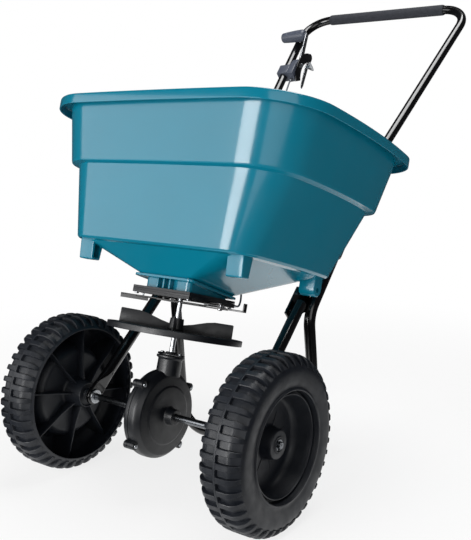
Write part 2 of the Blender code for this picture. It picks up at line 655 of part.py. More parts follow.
def wheel_profile():
    """The wheel's section, from the hub's bore out over the dished face, the tread and the open back."""
    face = WHEEL_WIDTH / 2
    bore = AXLE_RADIUS + 0.0004
    radius = WHEEL_RADIUS
    return [
        (bore, 0.0185), (0.0240, 0.0185), (0.0265, -0.004), (0.076, -0.006), (0.083, 0.002),
        (0.0865, 0.031), (0.0935, face), (0.129, face), (0.1485, 0.026), (radius, 0.020),
        (radius, -0.020), (0.1485, -0.026), (0.1335, -face), (0.127, -face), (0.1425, -0.020),
        (0.1425, 0.018), (0.127, 0.0345), (0.097, 0.0345), (0.088, -0.002), (0.079, -0.011),
        (0.029, -0.011), (0.0245, -0.0505), (bore, -0.0505),
    ]


def make_wheels(materials, ground):
    for side, name in ((-1, "left"), (1, "right")):
        flats = 1 / math.cos(math.pi / WHEEL_STEPS)
        profile = [(radius * flats, x * side) for radius, x in wheel_profile()]
        wheel = make_object(f"wheel_{name}", turned(profile, "X", WHEEL_STEPS), materials["wheel"], ground)
        wheel.location = (WHEEL_MIDDLE_X * side, 0, WHEEL_RADIUS)
        if side > 0:
            slot = slab(rectangle(-0.0520, -0.0452, -0.0029, 0.0029), -0.03, 0.03)
            slot_object = make_object("hub_slot_shape", slot, None, ground)
            slot_object.location = wheel.location
            slot_object.rotation_euler = (-REST_TILT, 0, 0)
            combine(wheel, slot_object, "DIFFERENCE")


def make_frame(materials, ground, chassis):
    """The two struts from axle to hopper, the one-piece stand tube, and the plates that tie them together."""
    for side, name in ((-1, "left"), (1, "right")):
        path = [Vector((FRAME_EYE_X * side, 0.008, 0.0135)), Vector((0.1668 * side, 0.148, 0.243))]
        strut = make_object(f"frame_strut_{name}", swept(path, FRAME_TUBE_RADIUS, 16),
                            materials["painted"], chassis)
        eye = arc((0, 0), 0.0165, 120, 300, 8) + [(0.024, 0.012), (0.012, 0.034)]
        low, high = (FRAME_EYE_X - 0.0041) * side, (FRAME_EYE_X + 0.0041) * side
        combine(strut, make_object(f"eye_shape_{name}", slab(eye, low, high, "YZX"), parent=chassis),
                "UNION")
        outer_x = (FRAME_EYE_X + 0.0045) * side
        for part, start, end in (("inner", 0.15, FRAME_EYE_X - 0.0042),
                                 ("outer", FRAME_EYE_X + 0.0042, 0.20)):
            trim = slab(rectangle(-0.024, 0.020, -0.03, 0.0215), start * side, end * side, "YZX")
            combine(strut, make_object(f"eye_trim_{part}_{name}", trim, parent=chassis), "DIFFERENCE")
        cut_holes(strut, chassis, [(0, 0)], 0.0097, min(0.15 * side, outer_x),
                  max(0.15 * side, 0.2 * side), "X", 20)

        plate_outline = [(0.121, 0.219), (0.139, 0.208), (0.206, 0.234), (0.213, 0.252), (0.176, 0.2725),
                         (0.150, 0.2725)]
        low, high = 0.1505 * side, 0.1540 * side
        plate = make_object(f"frame_plate_{name}", slab(plate_outline, low, high, "YZX"),
                            materials["painted"], chassis)
        holes = [(0.163, 0.2655), (0.1365, 0.2245)]
        cut_holes(plate, chassis, holes, 0.0036, min(0.14 * side, 0.16 * side),
                  max(0.14 * side, 0.16 * side), "X", 12)
        for (v, w), use in zip(holes, ("lug", "strut")):
            hex_bolt(f"{use}_bolt_{name}", materials["zinc"], chassis,
                     facing((0.1502 * side, v, w), (-side, 0, 0)),
                     0.0032, 0.0105, 0.0045, 0.0036 if use == "strut" else 0.0040)

    corners = []
    for side in (-1, 1):
        top = mirrored(STAND_KNEE.lerp(HANDLE_FLARE, COUPLER_PLACE), side)
        leg = [top, mirrored(STAND_KNEE, side), mirrored(STAND_FOOT, side)]
        corners += leg if side < 0 else leg[::-1]
    stand = swept(rounded_path(corners, (0.06, 0.055, 0.055, 0.06)), FRAME_TUBE_RADIUS, 12,
                  FRAME_TUBE_RADIUS - TUBE_WALL)
    make_object("stand_frame", stand, materials["painted"], ground)


def make_handle(materials, ground):
    """The U-shaped handle, its foam grip and the collars that clamp it to the stand tube."""
    corners = []
    for side in (-1, 1):
        along = (HANDLE_FLARE - STAND_KNEE).normalized()
        joint = mirrored(STAND_KNEE.lerp(HANDLE_FLARE, COUPLER_PLACE) + along * GAP, side)
        leg = [joint, mirrored(HANDLE_FLARE, side), mirrored(HANDLE_TOP, side)]
        corners += leg if side < 0 else leg[::-1]
        direction = mirrored(along, side)
        collar = turned([(FRAME_TUBE_RADIUS + 0.0004, -0.024), (0.0142, -0.024), (0.0142, 0.024),
                         (0.0125, 0.026), (HANDLE_TUBE_RADIUS + 0.0006, 0.026),
                         (HANDLE_TUBE_RADIUS + 0.0006, 0.0006),
                         (FRAME_TUBE_RADIUS + 0.0004, 0.0006)], steps=20)
        name = "left" if side < 0 else "right"
        collar_object = make_object(f"handle_collar_{name}", collar, materials["painted"], ground)
        collar_object.matrix_local = facing(joint, direction)
    handle = swept(rounded_path(corners, (0.12, 0.062, 0.062, 0.12)), HANDLE_TUBE_RADIUS, 12,
                   HANDLE_TUBE_RADIUS - TUBE_WALL)
    make_object("handle_frame", handle, materials["painted"], ground)
    bore = HANDLE_TUBE_RADIUS + 0.0006
    half = GRIP_HALF_LENGTH
    grip = turned([(bore, -half), (0.0118, -half), (0.0128, -half + 0.004), (0.0128, half - 0.004),
                   (0.0118, half), (bore, half)], "X", 20)
    make_object("handle_grip", grip, materials["foam"], ground, (0, HANDLE_TOP.y, HANDLE_TOP.z))


def control_matrix():
    """The lever's pivot frame on the left leg: X inboard along the pivot, Y back and down, Z up the leg."""
    low, high = mirrored(HANDLE_FLARE, -1), mirrored(HANDLE_TOP, -1)
    along = (high - low).normalized()
    place = low + (high - low) * (CONTROL_Z - low.z) / (high.z - low.z)
    across = (Vector((1, 0, 0)) - along * along.x).normalized()
    down = along.cross(across)
    return Matrix.Translation(place) @ Matrix((across, down, along)).transposed().to_4x4()


def make_control(materials, ground):
    """The flow lever on the left leg: bracket, quadrant, arm, knob and the clamped rate stop."""
    control = make_empty("lever_pivot", control_matrix(), ground)
    radius = HANDLE_TUBE_RADIUS

    bracket_outline = [(-0.014, -0.042), (0.016, -0.042), (0.016, -0.012), (0.010, 0.014), (-0.010, 0.014),
                       (-0.014, -0.008)]
    bracket = make_object("control_bracket", slab(bracket_outline, 0.0125, 0.030, "YZX"),
                          materials["slate"], control)
    saddle = slab(rectangle(-0.0145, 0.0145, -0.040, -0.008), -0.0145, 0.014, "YZX")
    combine(bracket, make_object("saddle_shape", saddle, parent=control), "UNION")
    tube_bore = turned([(0, -0.06), (radius + 0.0004, -0.06), (radius + 0.0004, 0.03), (0, 0.03)], steps=12)
    combine(bracket, make_object("saddle_bore_shape", tube_bore, parent=control), "DIFFERENCE")
    cut_holes(bracket, control, [(0, 0)], 0.0034, 0.0, 0.05, "X", 12)
    cable_hole = turned([(0, -0.05), (0.0032, -0.05), (0.0032, -0.038), (0, -0.038)], steps=12)
    combine(bracket, make_object("cable_hole_shape", cable_hole, None, control, (0.022, 0.006, 0)),
            "DIFFERENCE")

    arm_outline = [(-0.008, -0.006), (0.0, -0.0095), (0.008, -0.006), (0.0085, 0.004),
                   (-0.016, LEVER_LENGTH),
                   (-0.027, LEVER_LENGTH + 0.002), (-0.031, LEVER_LENGTH - 0.010), (-0.0085, 0.004)]
    arm = make_object("lever_arm", slab(arm_outline, 0.0305, 0.0335, "YZX"), materials["zinc"], control)
    cut_holes(arm, control, [(0, 0)], 0.0034, 0.0, 0.05, "X", 12)
    knob = turned([(0, -0.036), (0.010, -0.036), (0.0125, -0.033), (0.0135, -0.020), (0.015, 0.010),
                   (0.015, 0.024),
                   (0.012, 0.0302), (0, 0.0302)], "X", 20)
    make_object("lever_knob", knob, materials["slate"], control, (0, -0.0265, LEVER_LENGTH - 0.004))

    quadrant_outline = (arc((0.062, 0.004), 0.076, 226, 142, 8) + [(0.010, 0.056), (0.024, 0.050)]
                        + arc((0.062, 0.004), 0.052, 146, 222, 7))
    quadrant = make_object("quadrant_plate", slab(quadrant_outline, 0.0338, 0.0362, "YZX"),
                           materials["painted"], control)
    cut_holes(quadrant, control, [(0, 0)], 0.0034, 0.0, 0.05, "X", 12)
    hex_bolt("pivot_bolt", materials["zinc"], control, facing((0.0365, 0, 0), (1, 0, 0)), 0.0031, 0.010,
             0.004, 0.020)

    stop_outline = [(0.016, 0.030), (0.024, 0.031), (0.029, 0.020), (0.040, -0.034), (0.037, -0.048),
                    (0.030, -0.038),
                    (0.015, 0.014)]
    stop = make_object("rate_stop", slab(stop_outline, 0.0366, 0.0386, "YZX"), materials["zinc"], control)
    cut_holes(stop, control, [(0.022, 0.020)], 0.0026, 0.0, 0.05, "X", 12)
    wing = wing_nut_mesh()
    make_object("wing_nut", wing, materials["zinc"], control, (0.0389, 0.022, 0.020))
    return control


def wing_nut_mesh():
    """A wing nut turned about X: a tapered boss between two rounded wings, as one closed skin."""
    rings = []
    for x, core, reach, thick in ((0.0, 0.0055, 0.0055, 0.0055), (0.004, 0.0048, 0.009, 0.0030),
                                  (0.010, 0.0035, 0.014, 0.0013), (0.0145, 0.0010, 0.0135, 0.0011)):
        ring = []
        for i in range(16):
            angle = 2 * math.pi * i / 16
            along, up = math.cos(angle), math.sin(angle)
            ring.append((x, reach * along, (thick if abs(along) > 0.5 else max(core, thick)) * up))
        rings.append(ring)
    return skin(rings)


def make_cable(materials, ground, chassis, control):
    """The sheathed cable from the lever bracket down behind the hopper to the gate's anchor."""
    start = control.matrix_basis @ Vector((0.022, 0.006, -0.0400))
    below = control.matrix_basis @ Vector((0.022, 0.006, -0.080))
    level = [(-0.146, 0.400, 0.575), (-0.118, 0.338, 0.470), (-0.086, 0.292, 0.370), (-0.050, 0.248, 0.290),
             (-0.022, 0.222, 0.243), (-0.005, 0.196, 0.2225), (0.0, 0.178, 0.21855), (0.0, 0.1624, 0.21855)]
    points = [start, below] + [chassis.matrix_basis @ Vector(point) for point in level]
    make_object("control_cable", swept(smooth_path(points), 0.0020, 8), materials["cable"], ground)


def main():
    clear_scene()
    materials = {
        "poly": make_material("hopper_polyethylene", TEAL, 0.28),
        "painted": make_material("gloss_powder_coat", GLOSS_BLACK, 0.25),
        "moulded": make_material("moulded_black", MOULDED_BLACK, 0.5),
        "wheel": make_material("wheel_black", WHEEL_BLACK, 0.6),
        "zinc": make_material("zinc_plate", ZINC, 0.35, 1.0),
        "steel": make_material("bright_steel", STEEL, 0.3, 1.0),
        "slate": make_material("slate_grip", SLATE_GREY, 0.55),
        "foam": make_material("foam_grip", FOAM_GREY, 0.8),
        "cable": make_material("cable_sheath", SLATE_GREY, 0.5),
    }
    tilt = Matrix.Translation((0, 0, WHEEL_RADIUS)) @ Matrix.Rotation(-REST_TILT, 4, "X")
    ground = make_empty("axle_ground", Matrix.Translation((0, AXLE_Y, 0)))
    chassis = make_empty("chassis_tilt", tilt, ground)
    make_hopper(materials["poly"], chassis)
    make_outlet(materials, chassis)
    make_spinner(materials, chassis)
    make_gearbox(materials, chassis)
    make_axle_parts(materials, chassis)
    make_wheels(materials, ground)
    make_frame(materials, ground, chassis)
    make_handle(materials, ground)
    control = make_control(materials, ground)
    make_cable(materials, ground, chassis, control)


main()
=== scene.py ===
"""Builds the looks of a walk-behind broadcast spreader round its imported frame.

Lengths are in metres. The hopper, outlet, spinner and gearbox are drawn level, in x along the axle, v to
the rear and w up from the axle's middle, and the LEVEL matrix tilts them to where the machine rests.
"""

import math

import bmesh
import bpy
import numpy as np
from bpy.props import FloatProperty, FloatVectorProperty, IntProperty, PointerProperty
from mathutils import Matrix, Vector


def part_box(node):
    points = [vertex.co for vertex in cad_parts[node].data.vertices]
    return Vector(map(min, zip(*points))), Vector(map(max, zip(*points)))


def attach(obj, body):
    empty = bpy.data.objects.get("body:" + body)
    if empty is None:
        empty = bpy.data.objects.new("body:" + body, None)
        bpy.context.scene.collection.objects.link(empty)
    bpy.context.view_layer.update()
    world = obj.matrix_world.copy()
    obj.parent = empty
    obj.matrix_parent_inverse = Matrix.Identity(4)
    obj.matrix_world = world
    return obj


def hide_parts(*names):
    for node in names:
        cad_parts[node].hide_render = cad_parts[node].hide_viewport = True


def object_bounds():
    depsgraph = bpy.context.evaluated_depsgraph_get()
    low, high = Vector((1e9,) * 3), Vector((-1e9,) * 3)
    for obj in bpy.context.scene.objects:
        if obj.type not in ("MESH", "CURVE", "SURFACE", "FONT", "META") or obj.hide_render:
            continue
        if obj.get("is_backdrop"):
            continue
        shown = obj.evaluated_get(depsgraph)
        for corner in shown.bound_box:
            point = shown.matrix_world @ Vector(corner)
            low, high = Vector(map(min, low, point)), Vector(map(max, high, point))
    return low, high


bl_info = {
    "name": "Broadcast spreader",
    "version": (1, 0, 0),
    "blender": (4, 5, 0),
    "location": "3D View > Sidebar > Spreader",
    "description": "Builds a walk-behind broadcast spreader and a plain studio round it",
    "category": "Add Mesh",
}

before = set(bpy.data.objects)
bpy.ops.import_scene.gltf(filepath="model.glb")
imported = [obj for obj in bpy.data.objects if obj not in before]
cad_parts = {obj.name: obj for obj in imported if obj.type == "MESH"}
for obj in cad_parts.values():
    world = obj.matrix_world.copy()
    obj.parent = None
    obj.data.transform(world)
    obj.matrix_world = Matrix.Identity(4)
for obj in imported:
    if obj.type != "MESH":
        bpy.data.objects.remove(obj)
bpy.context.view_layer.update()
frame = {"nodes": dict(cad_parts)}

REST_TILT = math.radians(16.4)
AXLE_LOW, AXLE_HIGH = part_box("axle")
AXLE_Y = (AXLE_LOW.y + AXLE_HIGH.y) / 2
AXLE_Z = (AXLE_LOW.z + AXLE_HIGH.z) / 2
GROUND = Matrix.Translation((0, AXLE_Y, 0))
LEVEL = Matrix.Translation((0, AXLE_Y, AXLE_Z)) @ Matrix.Rotation(-REST_TILT, 4, "X")
SIDES = ((-1, "left"), (1, "right"))

FRAME_TUBE_RADIUS = 0.0111
HANDLE_TUBE_RADIUS = 0.010
STAND_FOOT = Vector((0.171, 0.273, FRAME_TUBE_RADIUS))
STAND_KNEE = Vector((0.1665, 0.2405, 0.3155))
HANDLE_FLARE = Vector((0.167, 0.5015, 0.600))
HANDLE_TOP = Vector((0.222, 0.874, 0.950))
JOINT_PLACE = 0.42
LEVER_HEIGHT = 0.824

AXLE_RADIUS = 0.00635
AXLE_END = 0.262
AXLE_BORE = 0.00675  # running fit of the wheels and the gearbox on the axle
SHAFT_BORE = 0.00505  # of what turns with the upright shaft
SPINNER_W = 0.150
FRONT_LUG_V, REAR_LUG_V = -0.078, 0.163
SLIDE_SCREW_X = 0.092
CAP_SCREW_X = 0.021

CAMERA_PLACE = (0.9388, -1.4287, 0.6566)
FLOOR_RADIUS = 0.65  # the part of the floor that the gloss mirrors
BACKDROP_RADIUS = 12.0


def linear(hex_colour):
    """An sRGB hex colour as the linear values that a shader takes."""
    values = [int(hex_colour[i : i + 2], 16) / 255 for i in (0, 2, 4)]
    return [v / 12.92 if v <= 0.04045 else ((v + 0.055) / 1.055) ** 2.4 for v in values]


def colour_property(name, hex_colour, description):
    return FloatVectorProperty(
        name=name, description=description, subtype="COLOR", size=3, min=0, max=1, default=linear(hex_colour)
    )


class SpreaderSizes(bpy.types.PropertyGroup):
    """Sizes that a user would change."""

    tread_bars: IntProperty(name="Tread bars", description="Tread bars round each row of a wheel", default=42,
                            min=12, max=90)
    tread_depth: FloatProperty(name="Tread depth", description="Depth of the pockets between the tread bars",
                               default=0.006, min=0.001, max=0.01, subtype="DISTANCE", unit="LENGTH")
    rim_skirt: FloatProperty(name="Rim skirt", description="Height of the rim's turned-down skirt",
                             default=0.018, min=0.008, max=0.03, subtype="DISTANCE", unit="LENGTH")
    back_ribs: IntProperty(name="Back ribs", description="Radial ribs in each wheel's open back", default=8,
                           min=3, max=16)
    spinner_fins: IntProperty(name="Spinner fins", description="Fins that stand on the spinner disc",
                              default=4, min=2, max=8)


class SpreaderColours(bpy.types.PropertyGroup):
    """Colours of the machine's finishes."""

    hopper: colour_property("Hopper", "046A80", "Moulded polyethylene of the hopper")
    frame: colour_property("Frame", "050506", "Powder coat of the tubes and plates")
    moulding: colour_property("Mouldings", "090C11", "Nylon of the gearbox, spinner and outlet")
    wheel: colour_property("Wheels", "10141B", "Blow-moulded wheel plastic")
    control: colour_property("Control", "444955", "Plastic of the lever's knob and bracket")


class SpreaderStudio(bpy.types.PropertyGroup):
    """The camera and lights."""

    azimuth: FloatProperty(name="Azimuth", description="Turn of the camera round the machine",
                           default=math.radians(35.98), subtype="ANGLE", unit="ROTATION")
    look_down: FloatProperty(name="Look down", description="Tilt of the camera below level",
                             default=math.radians(9.59), subtype="ANGLE", unit="ROTATION")
    lens: FloatProperty(name="Lens", description="Focal length in millimetres", default=53.9, min=20, max=200)
    key: FloatProperty(name="Key light", description="Power of the bright panel in front in watts",
                       default=75, min=0, max=1000)
    veil: FloatProperty(name="Veil light",
                        description="Power of the wide dim panel at the front left in watts", default=33,
                        min=0, max=1000)
    fill: FloatProperty(name="Fill light", description="Power of the softbox beside the camera in watts",
                        default=24, min=0, max=1000)
    top: FloatProperty(name="Top light", description="Power of the overhead softbox in watts", default=60,
                       min=0, max=1000)


# Mesh helpers


def skin(rings, closed=False):
    """A bmesh that joins equal rings of points; the ends are capped unless the last joins the first."""
    bm = bmesh.new()
    loops = [[bm.verts.new(point) for point in ring] for ring in rings]
    count = len(rings[0])
    pairs = list(zip(loops, loops[1:]))
    if closed:
        pairs.append((loops[-1], loops[0]))
    for low, high in pairs:
        for i in range(count):
            j = (i + 1) % count
            bm.faces.new((low[i], low[j], high[j], high[i]))
    if not closed:
        bm.faces.new(loops[0])
        bm.faces.new(loops[-1])
    return bm


def turned(profile, steps=96):
    """A bmesh turned about Z from a closed profile of (radius, height), which may end on the axis."""
    bm = bmesh.new()
    rows = []
    for radius, height in profile:
        turns = steps if radius > 1e-7 else 1
        angles = [math.tau * i / steps for i in range(turns)]
        rows.append([bm.verts.new((radius * math.cos(a), radius * math.sin(a), height)) for a in angles])
    pairs = list(zip(rows, rows[1:]))
    if profile[0][0] > 1e-7:
        pairs.append((rows[-1], rows[0]))
    for low, high in pairs:
        for i in range(steps):
            j = (i + 1) % steps
            corners = [low[i % len(low)], low[j % len(low)], high[j % len(high)], high[i % len(high)]]
            unique = list(dict.fromkeys(corners))
            if len(unique) > 2:
                bm.faces.new(unique)
    return bm


def softened(stations, closed=False, steps=4):
    """Rounds the corners of a row of number tuples, each of which starts with the reach of its rounding."""
    rows = [np.array(station, float) for station in stations]
    count = len(rows)
    points = []
    for i, row in enumerate(rows):
        if not closed and i in (0, count - 1):
            points.append(row[1:])
            continue
        corner, before, after = row[1:], rows[i - 1][1:], rows[(i + 1) % count][1:]
        ends = []
        for other in (before, after):
            length = max(np.linalg.norm(other - corner), 1e-9)
            ends.append(corner + (other - corner) * min(row[0] / length, 0.45))
        for k in range(steps + 1):
            t = k / steps
            points.append(ends[0] * (1 - t) ** 2 + corner * 2 * t * (1 - t) + ends[1] * t * t)
    return [tuple(point) for point in points]


def lathe(*stations, steps=96, rounding=4):
    """A turned bmesh whose profile corners are rounded: each station is (reach, radius, height)."""
    return turned(softened(stations, stations[0][1] > 1e-7, rounding), steps)


def slab(outline, low, high, axes="XYZ", edge=0.0, segments=3):
    """A flat outline (a, b) extruded from low to high, edges rounded; axes places a, b and the depth."""
    order = ["XYZ".index(letter) for letter in axes]
    rings = []
    for depth in (low, high):
        ring = []
        for a, b in outline:
            point = [0.0, 0.0, 0.0]
            for index, value in zip(order, (a, b, depth)):
                point[index] = value
            ring.append(point)
        rings.append(ring)
    bm = skin(rings)
    if edge:
        round_edges(bm, edge, segments)
    return bm


def round_edges(bm, width, segments=3, angle=32):
    bmesh.ops.recalc_face_normals(bm, faces=bm.faces)
    sharp = [e for e in bm.edges if len(e.link_faces) == 2 and e.calc_face_angle(0) > math.radians(angle)]
    bmesh.ops.bevel(bm, geom=sharp, offset=width, segments=segments, profile=0.5, affect="EDGES",
                    clamp_overlap=True)


def rectangle(low_a, high_a, low_b, high_b):
    return [(low_a, low_b), (high_a, low_b), (high_a, high_b), (low_a, high_b)]


def arc(centre, radius, start, end, steps):
    """Points along an arc, with angles in degrees."""
    angles = [math.radians(start + (end - start) * i / steps) for i in range(steps + 1)]
    return [(centre[0] + radius * math.cos(a), centre[1] + radius * math.sin(a)) for a in angles]


def capsule(start, end, radius, steps=10):
    """The outline of a slot or a link whose round ends are centred on start and end."""
    along = math.degrees(math.atan2(end[1] - start[1], end[0] - start[0]))
    first = arc(start, radius, along + 90, along + 270, steps)
    return first + arc(end, radius, along - 90, along + 90, steps)


def rounded_path(corners, radii, steps=16):
    """A path through corners, each inner one rounded to its radius."""
    path = [corners[0]]
    for before, corner, after, radius in zip(corners, corners[1:], corners[2:], radii):
        back = (before - corner).normalized()
        ahead = (after - corner).normalized()
        half = back.angle(ahead) / 2
        reach = radius / math.tan(half)
        middle = corner + (back + ahead).normalized() * radius / math.sin(half)
        first = corner + back * reach - middle
        last = corner + ahead * reach - middle
        turn = first.angle(last)
        for i in range(steps + 1):
            share = i / steps
            weights = math.sin((1 - share) * turn) / math.sin(turn), math.sin(share * turn) / math.sin(turn)
            path.append(middle + first * weights[0] + last * weights[1])
    path.append(corners[-1])
    return path


def smooth_path(points, steps=12):
    """A Catmull-Rom curve through the points."""
    ends = [points[0] * 2 - points[1], *points, points[-1] * 2 - points[-2]]
    path = []
    for a, b, c, d in zip(ends, ends[1:], ends[2:], ends[3:]):
        for i in range(steps):
            t = i / steps
            bend, twist = 2 * a - 5 * b + 4 * c - d, 3 * b - a - 3 * c + d
            path.append(0.5 * (2 * b + (c - a) * t + bend * t**2 + twist * t**3))
    path.append(points[-1])
    return path


def swept(path, sections, sides=32):
    """A round or oval bar along a path. sections gives each point's half width and half depth."""
    tangents = [(path[min(i + 1, len(path) - 1)] - path[max(i - 1,
                                                            0)]).normalized() for i in range(len(path))]
    normal = Vector((1, 0, 0)) - tangents[0] * tangents[0].x
    rings = []
    for point, tangent, (wide, deep) in zip(path, tangents, sections):
        normal = (normal - tangent * normal.dot(tangent)).normalized()
        side = tangent.cross(normal)
        turns = [math.tau * k / sides for k in range(sides)]
        rings.append([point + normal * wide * math.cos(a) + side * deep * math.sin(a) for a in turns])
    return skin(rings)


def tube(path, radius, sides=32):
    """A round tube along a path with slightly rounded ends."""
    lengths = [0.0]
    for a, b in zip(path, path[1:]):
        lengths.append(lengths[-1] + (b - a).length)
    first, last = (path[1] - path[0]).normalized(), (path[-1] - path[-2]).normalized()
    edge = radius * 0.12
    path = [path[0], path[0] + first * edge * 0.4, path[0] + first * edge, *path[1:-1],
            path[-1] - last * edge, path[-1] - last * edge * 0.4, path[-1]]
    scale = [0.88, 0.965, 1.0] + [1.0] * (len(path) - 6) + [1.0, 0.965, 0.88]
    return swept(path, [(radius * s, radius * s) for s in scale], sides)


def facing(point, direction):
    """A matrix at a point whose Z runs along a direction."""
    return Matrix.Translation(point) @ Vector(direction).to_track_quat("Z", "Y").to_matrix().to_4x4()


def moved(bm, matrix):
    bmesh.ops.transform(bm, matrix=matrix, verts=bm.verts)
    return bm


def joined(*shapes):
    """One bmesh that holds all the shapes, which are used up."""
    whole = shapes[0]
    for shape in shapes[1:]:
        mesh = bpy.data.meshes.new("part")
        shape.to_mesh(mesh)
        shape.free()
        whole.from_mesh(mesh)
        bpy.data.meshes.remove(mesh)
    return whole


def loose_object(bm):
    bmesh.ops.recalc_face_normals(bm, faces=bm.faces)
    mesh = bpy.data.meshes.new("loose")
    bm.to_mesh(mesh)
    bm.free()
    obj = bpy.data.objects.new("loose", mesh)
    bpy.context.collection.objects.link(obj)
    return obj


def settled(obj, *helpers):
    """The object's shape with its modifiers applied, as a bmesh. The object and its helpers are removed."""
    graph = bpy.context.evaluated_depsgraph_get()
    mesh = bpy.data.meshes.new_from_object(obj.evaluated_get(graph), depsgraph=graph)
    bm = bmesh.new()
    bm.from_mesh(mesh)
    for spent in (obj, *helpers):
        bpy.data.meshes.remove(spent.data)
    bpy.data.meshes.remove(mesh)
    return bm


def carved(bm, *tools, operation="DIFFERENCE"):
    """A shape with tools cut out of it, or joined to it, by exact Booleans."""
    obj = loose_object(bm)
    helpers = [loose_object(tool) for tool in tools]
    for helper in helpers:
        modifier = obj.modifiers.new("carve", "BOOLEAN")
        modifier.operation = operation
        modifier.solver = "EXACT"
        modifier.object = helper
    return settled(obj, *helpers)


def drill(radius, low, high, place=None, steps=32):
    bm = turned([(0, low), (radius, low), (radius, high), (0, high)], steps)
    return moved(bm, place) if place else bm


def grown(bm, tree, **inputs):
    """Runs a Geometry Nodes tree on a shape and returns its plain mesh as a bmesh."""
    obj = loose_object(bm)
    modifier = obj.modifiers.new("grow", "NODES")
    modifier.node_group = tree
    for item in tree.interface.items_tree:
        if item.in_out == "INPUT" and item.name in inputs:
            modifier[item.identifier] = inputs[item.name]
    return settled(obj)


def piece(name, bm, slot, nodes=(), place=None, body="chassis", crease=30):
    """Turns a bmesh into a finished piece of the machine, in world place, riding on its body.

    slot names both the frame's material slot and the finish that goes with it; nodes are the CAD nodes that
    the piece stands in for.
    """
    if place is not None:
        moved(bm, place)
    bmesh.ops.remove_doubles(bm, verts=bm.verts, dist=1e-6)
    bmesh.ops.dissolve_degenerate(bm, dist=1e-7, edges=bm.edges)
    bmesh.ops.recalc_face_normals(bm, faces=bm.faces)
    mesh = bpy.data.meshes.new(name)
    bm.to_mesh(mesh)
    bm.free()
    mesh.shade_smooth()
    mesh.set_sharp_from_angle(angle=math.radians(crease))
    mesh.materials.clear()
    mesh.materials.append(shop()[slot])
    obj = bpy.data.objects.new(name, mesh)
    bpy.context.collection.objects.link(obj)
    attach(obj, body)
    if nodes:
        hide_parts(*nodes)
    return obj


# Node trees


def add(tree, kind, sockets=None, **settings):
    """Adds a node with its settings. Each socket takes a value, or a link where it is given an output."""
    made = tree.nodes.new(kind)
    for name, value in settings.items():
        setattr(made, name, value)
    for key, value in (sockets or {}).items():
        if isinstance(value, bpy.types.NodeSocket):
            tree.links.new(value, made.inputs[key])
        else:
            made.inputs[key].default_value = value
    return made


def new_tree(name, inputs):
    tree = bpy.data.node_groups.new(name, "GeometryNodeTree")
    for label, kind in inputs:
        tree.interface.new_socket(label, in_out="INPUT", socket_type=kind)
    tree.interface.new_socket("Shape", in_out="OUTPUT", socket_type="NodeSocketGeometry")
    return tree, add(tree, "NodeGroupInput").outputs


def close_tree(tree, given, copies):
    """Ends a tree that makes copies: they become real mesh and take their finish."""
    real = add(tree, "GeometryNodeRealizeInstances", {"Geometry": copies})
    coated = add(tree, "GeometryNodeSetMaterial", {"Geometry": real.outputs[0], "Material": given["Finish"]})
    add(tree, "NodeGroupOutput", {"Shape": coated.outputs[0]})
    return tree


def evenly_round():
    """Copies a shape evenly round Z: tread bars, wheel ribs and spinner fins."""
    tree, given = new_tree("evenly_round", [
        ("Shape", "NodeSocketGeometry"), ("Count", "NodeSocketInt"), ("Turn", "NodeSocketFloat"),
        ("Finish", "NodeSocketMaterial"),
        ])
    centres = add(tree, "GeometryNodeMeshLine", {"Count": given["Count"], "Offset": (0, 0, 0)})
    share = add(tree, "ShaderNodeMath", {0: math.tau, 1: given["Count"]}, operation="DIVIDE")
    index = add(tree, "GeometryNodeInputIndex")
    angle = add(tree, "ShaderNodeMath", {0: index.outputs[0], 1: share.outputs[0], 2: given["Turn"]},
                operation="MULTIPLY_ADD")
    about_z = add(tree, "ShaderNodeCombineXYZ", {"Z": angle.outputs[0]})
    rotation = add(tree, "FunctionNodeEulerToRotation", {0: about_z.outputs[0]})
    copies = add(tree, "GeometryNodeInstanceOnPoints", {
        "Points": centres.outputs[0], "Instance": given["Shape"], "Rotation": rotation.outputs[0]})
    return close_tree(tree, given, copies.outputs[0])


def heads_on_points():
    """Sets a screw head on each point, along its facing attribute and scaled by its size attribute."""
    tree, given = new_tree("heads_on_points", [
        ("Points", "NodeSocketGeometry"), ("Head", "NodeSocketObject"), ("Finish", "NodeSocketMaterial")])
    head = add(tree, "GeometryNodeObjectInfo", {"Object": given["Head"]}, transform_space="ORIGINAL")
    direction = add(tree, "GeometryNodeInputNamedAttribute", {"Name": "facing"}, data_type="FLOAT_VECTOR")
    size = add(tree, "GeometryNodeInputNamedAttribute", {"Name": "size"}, data_type="FLOAT")
    rotation = add(tree, "FunctionNodeAlignRotationToVector", {"Vector": direction.outputs[0]}, axis="Z")
    copies = add(tree, "GeometryNodeInstanceOnPoints", {
        "Points": given["Points"], "Instance": head.outputs["Geometry"], "Rotation": rotation.outputs[0],
        "Scale": size.outputs[0]})
    return close_tree(tree, given, copies.outputs[0])


# Finishes


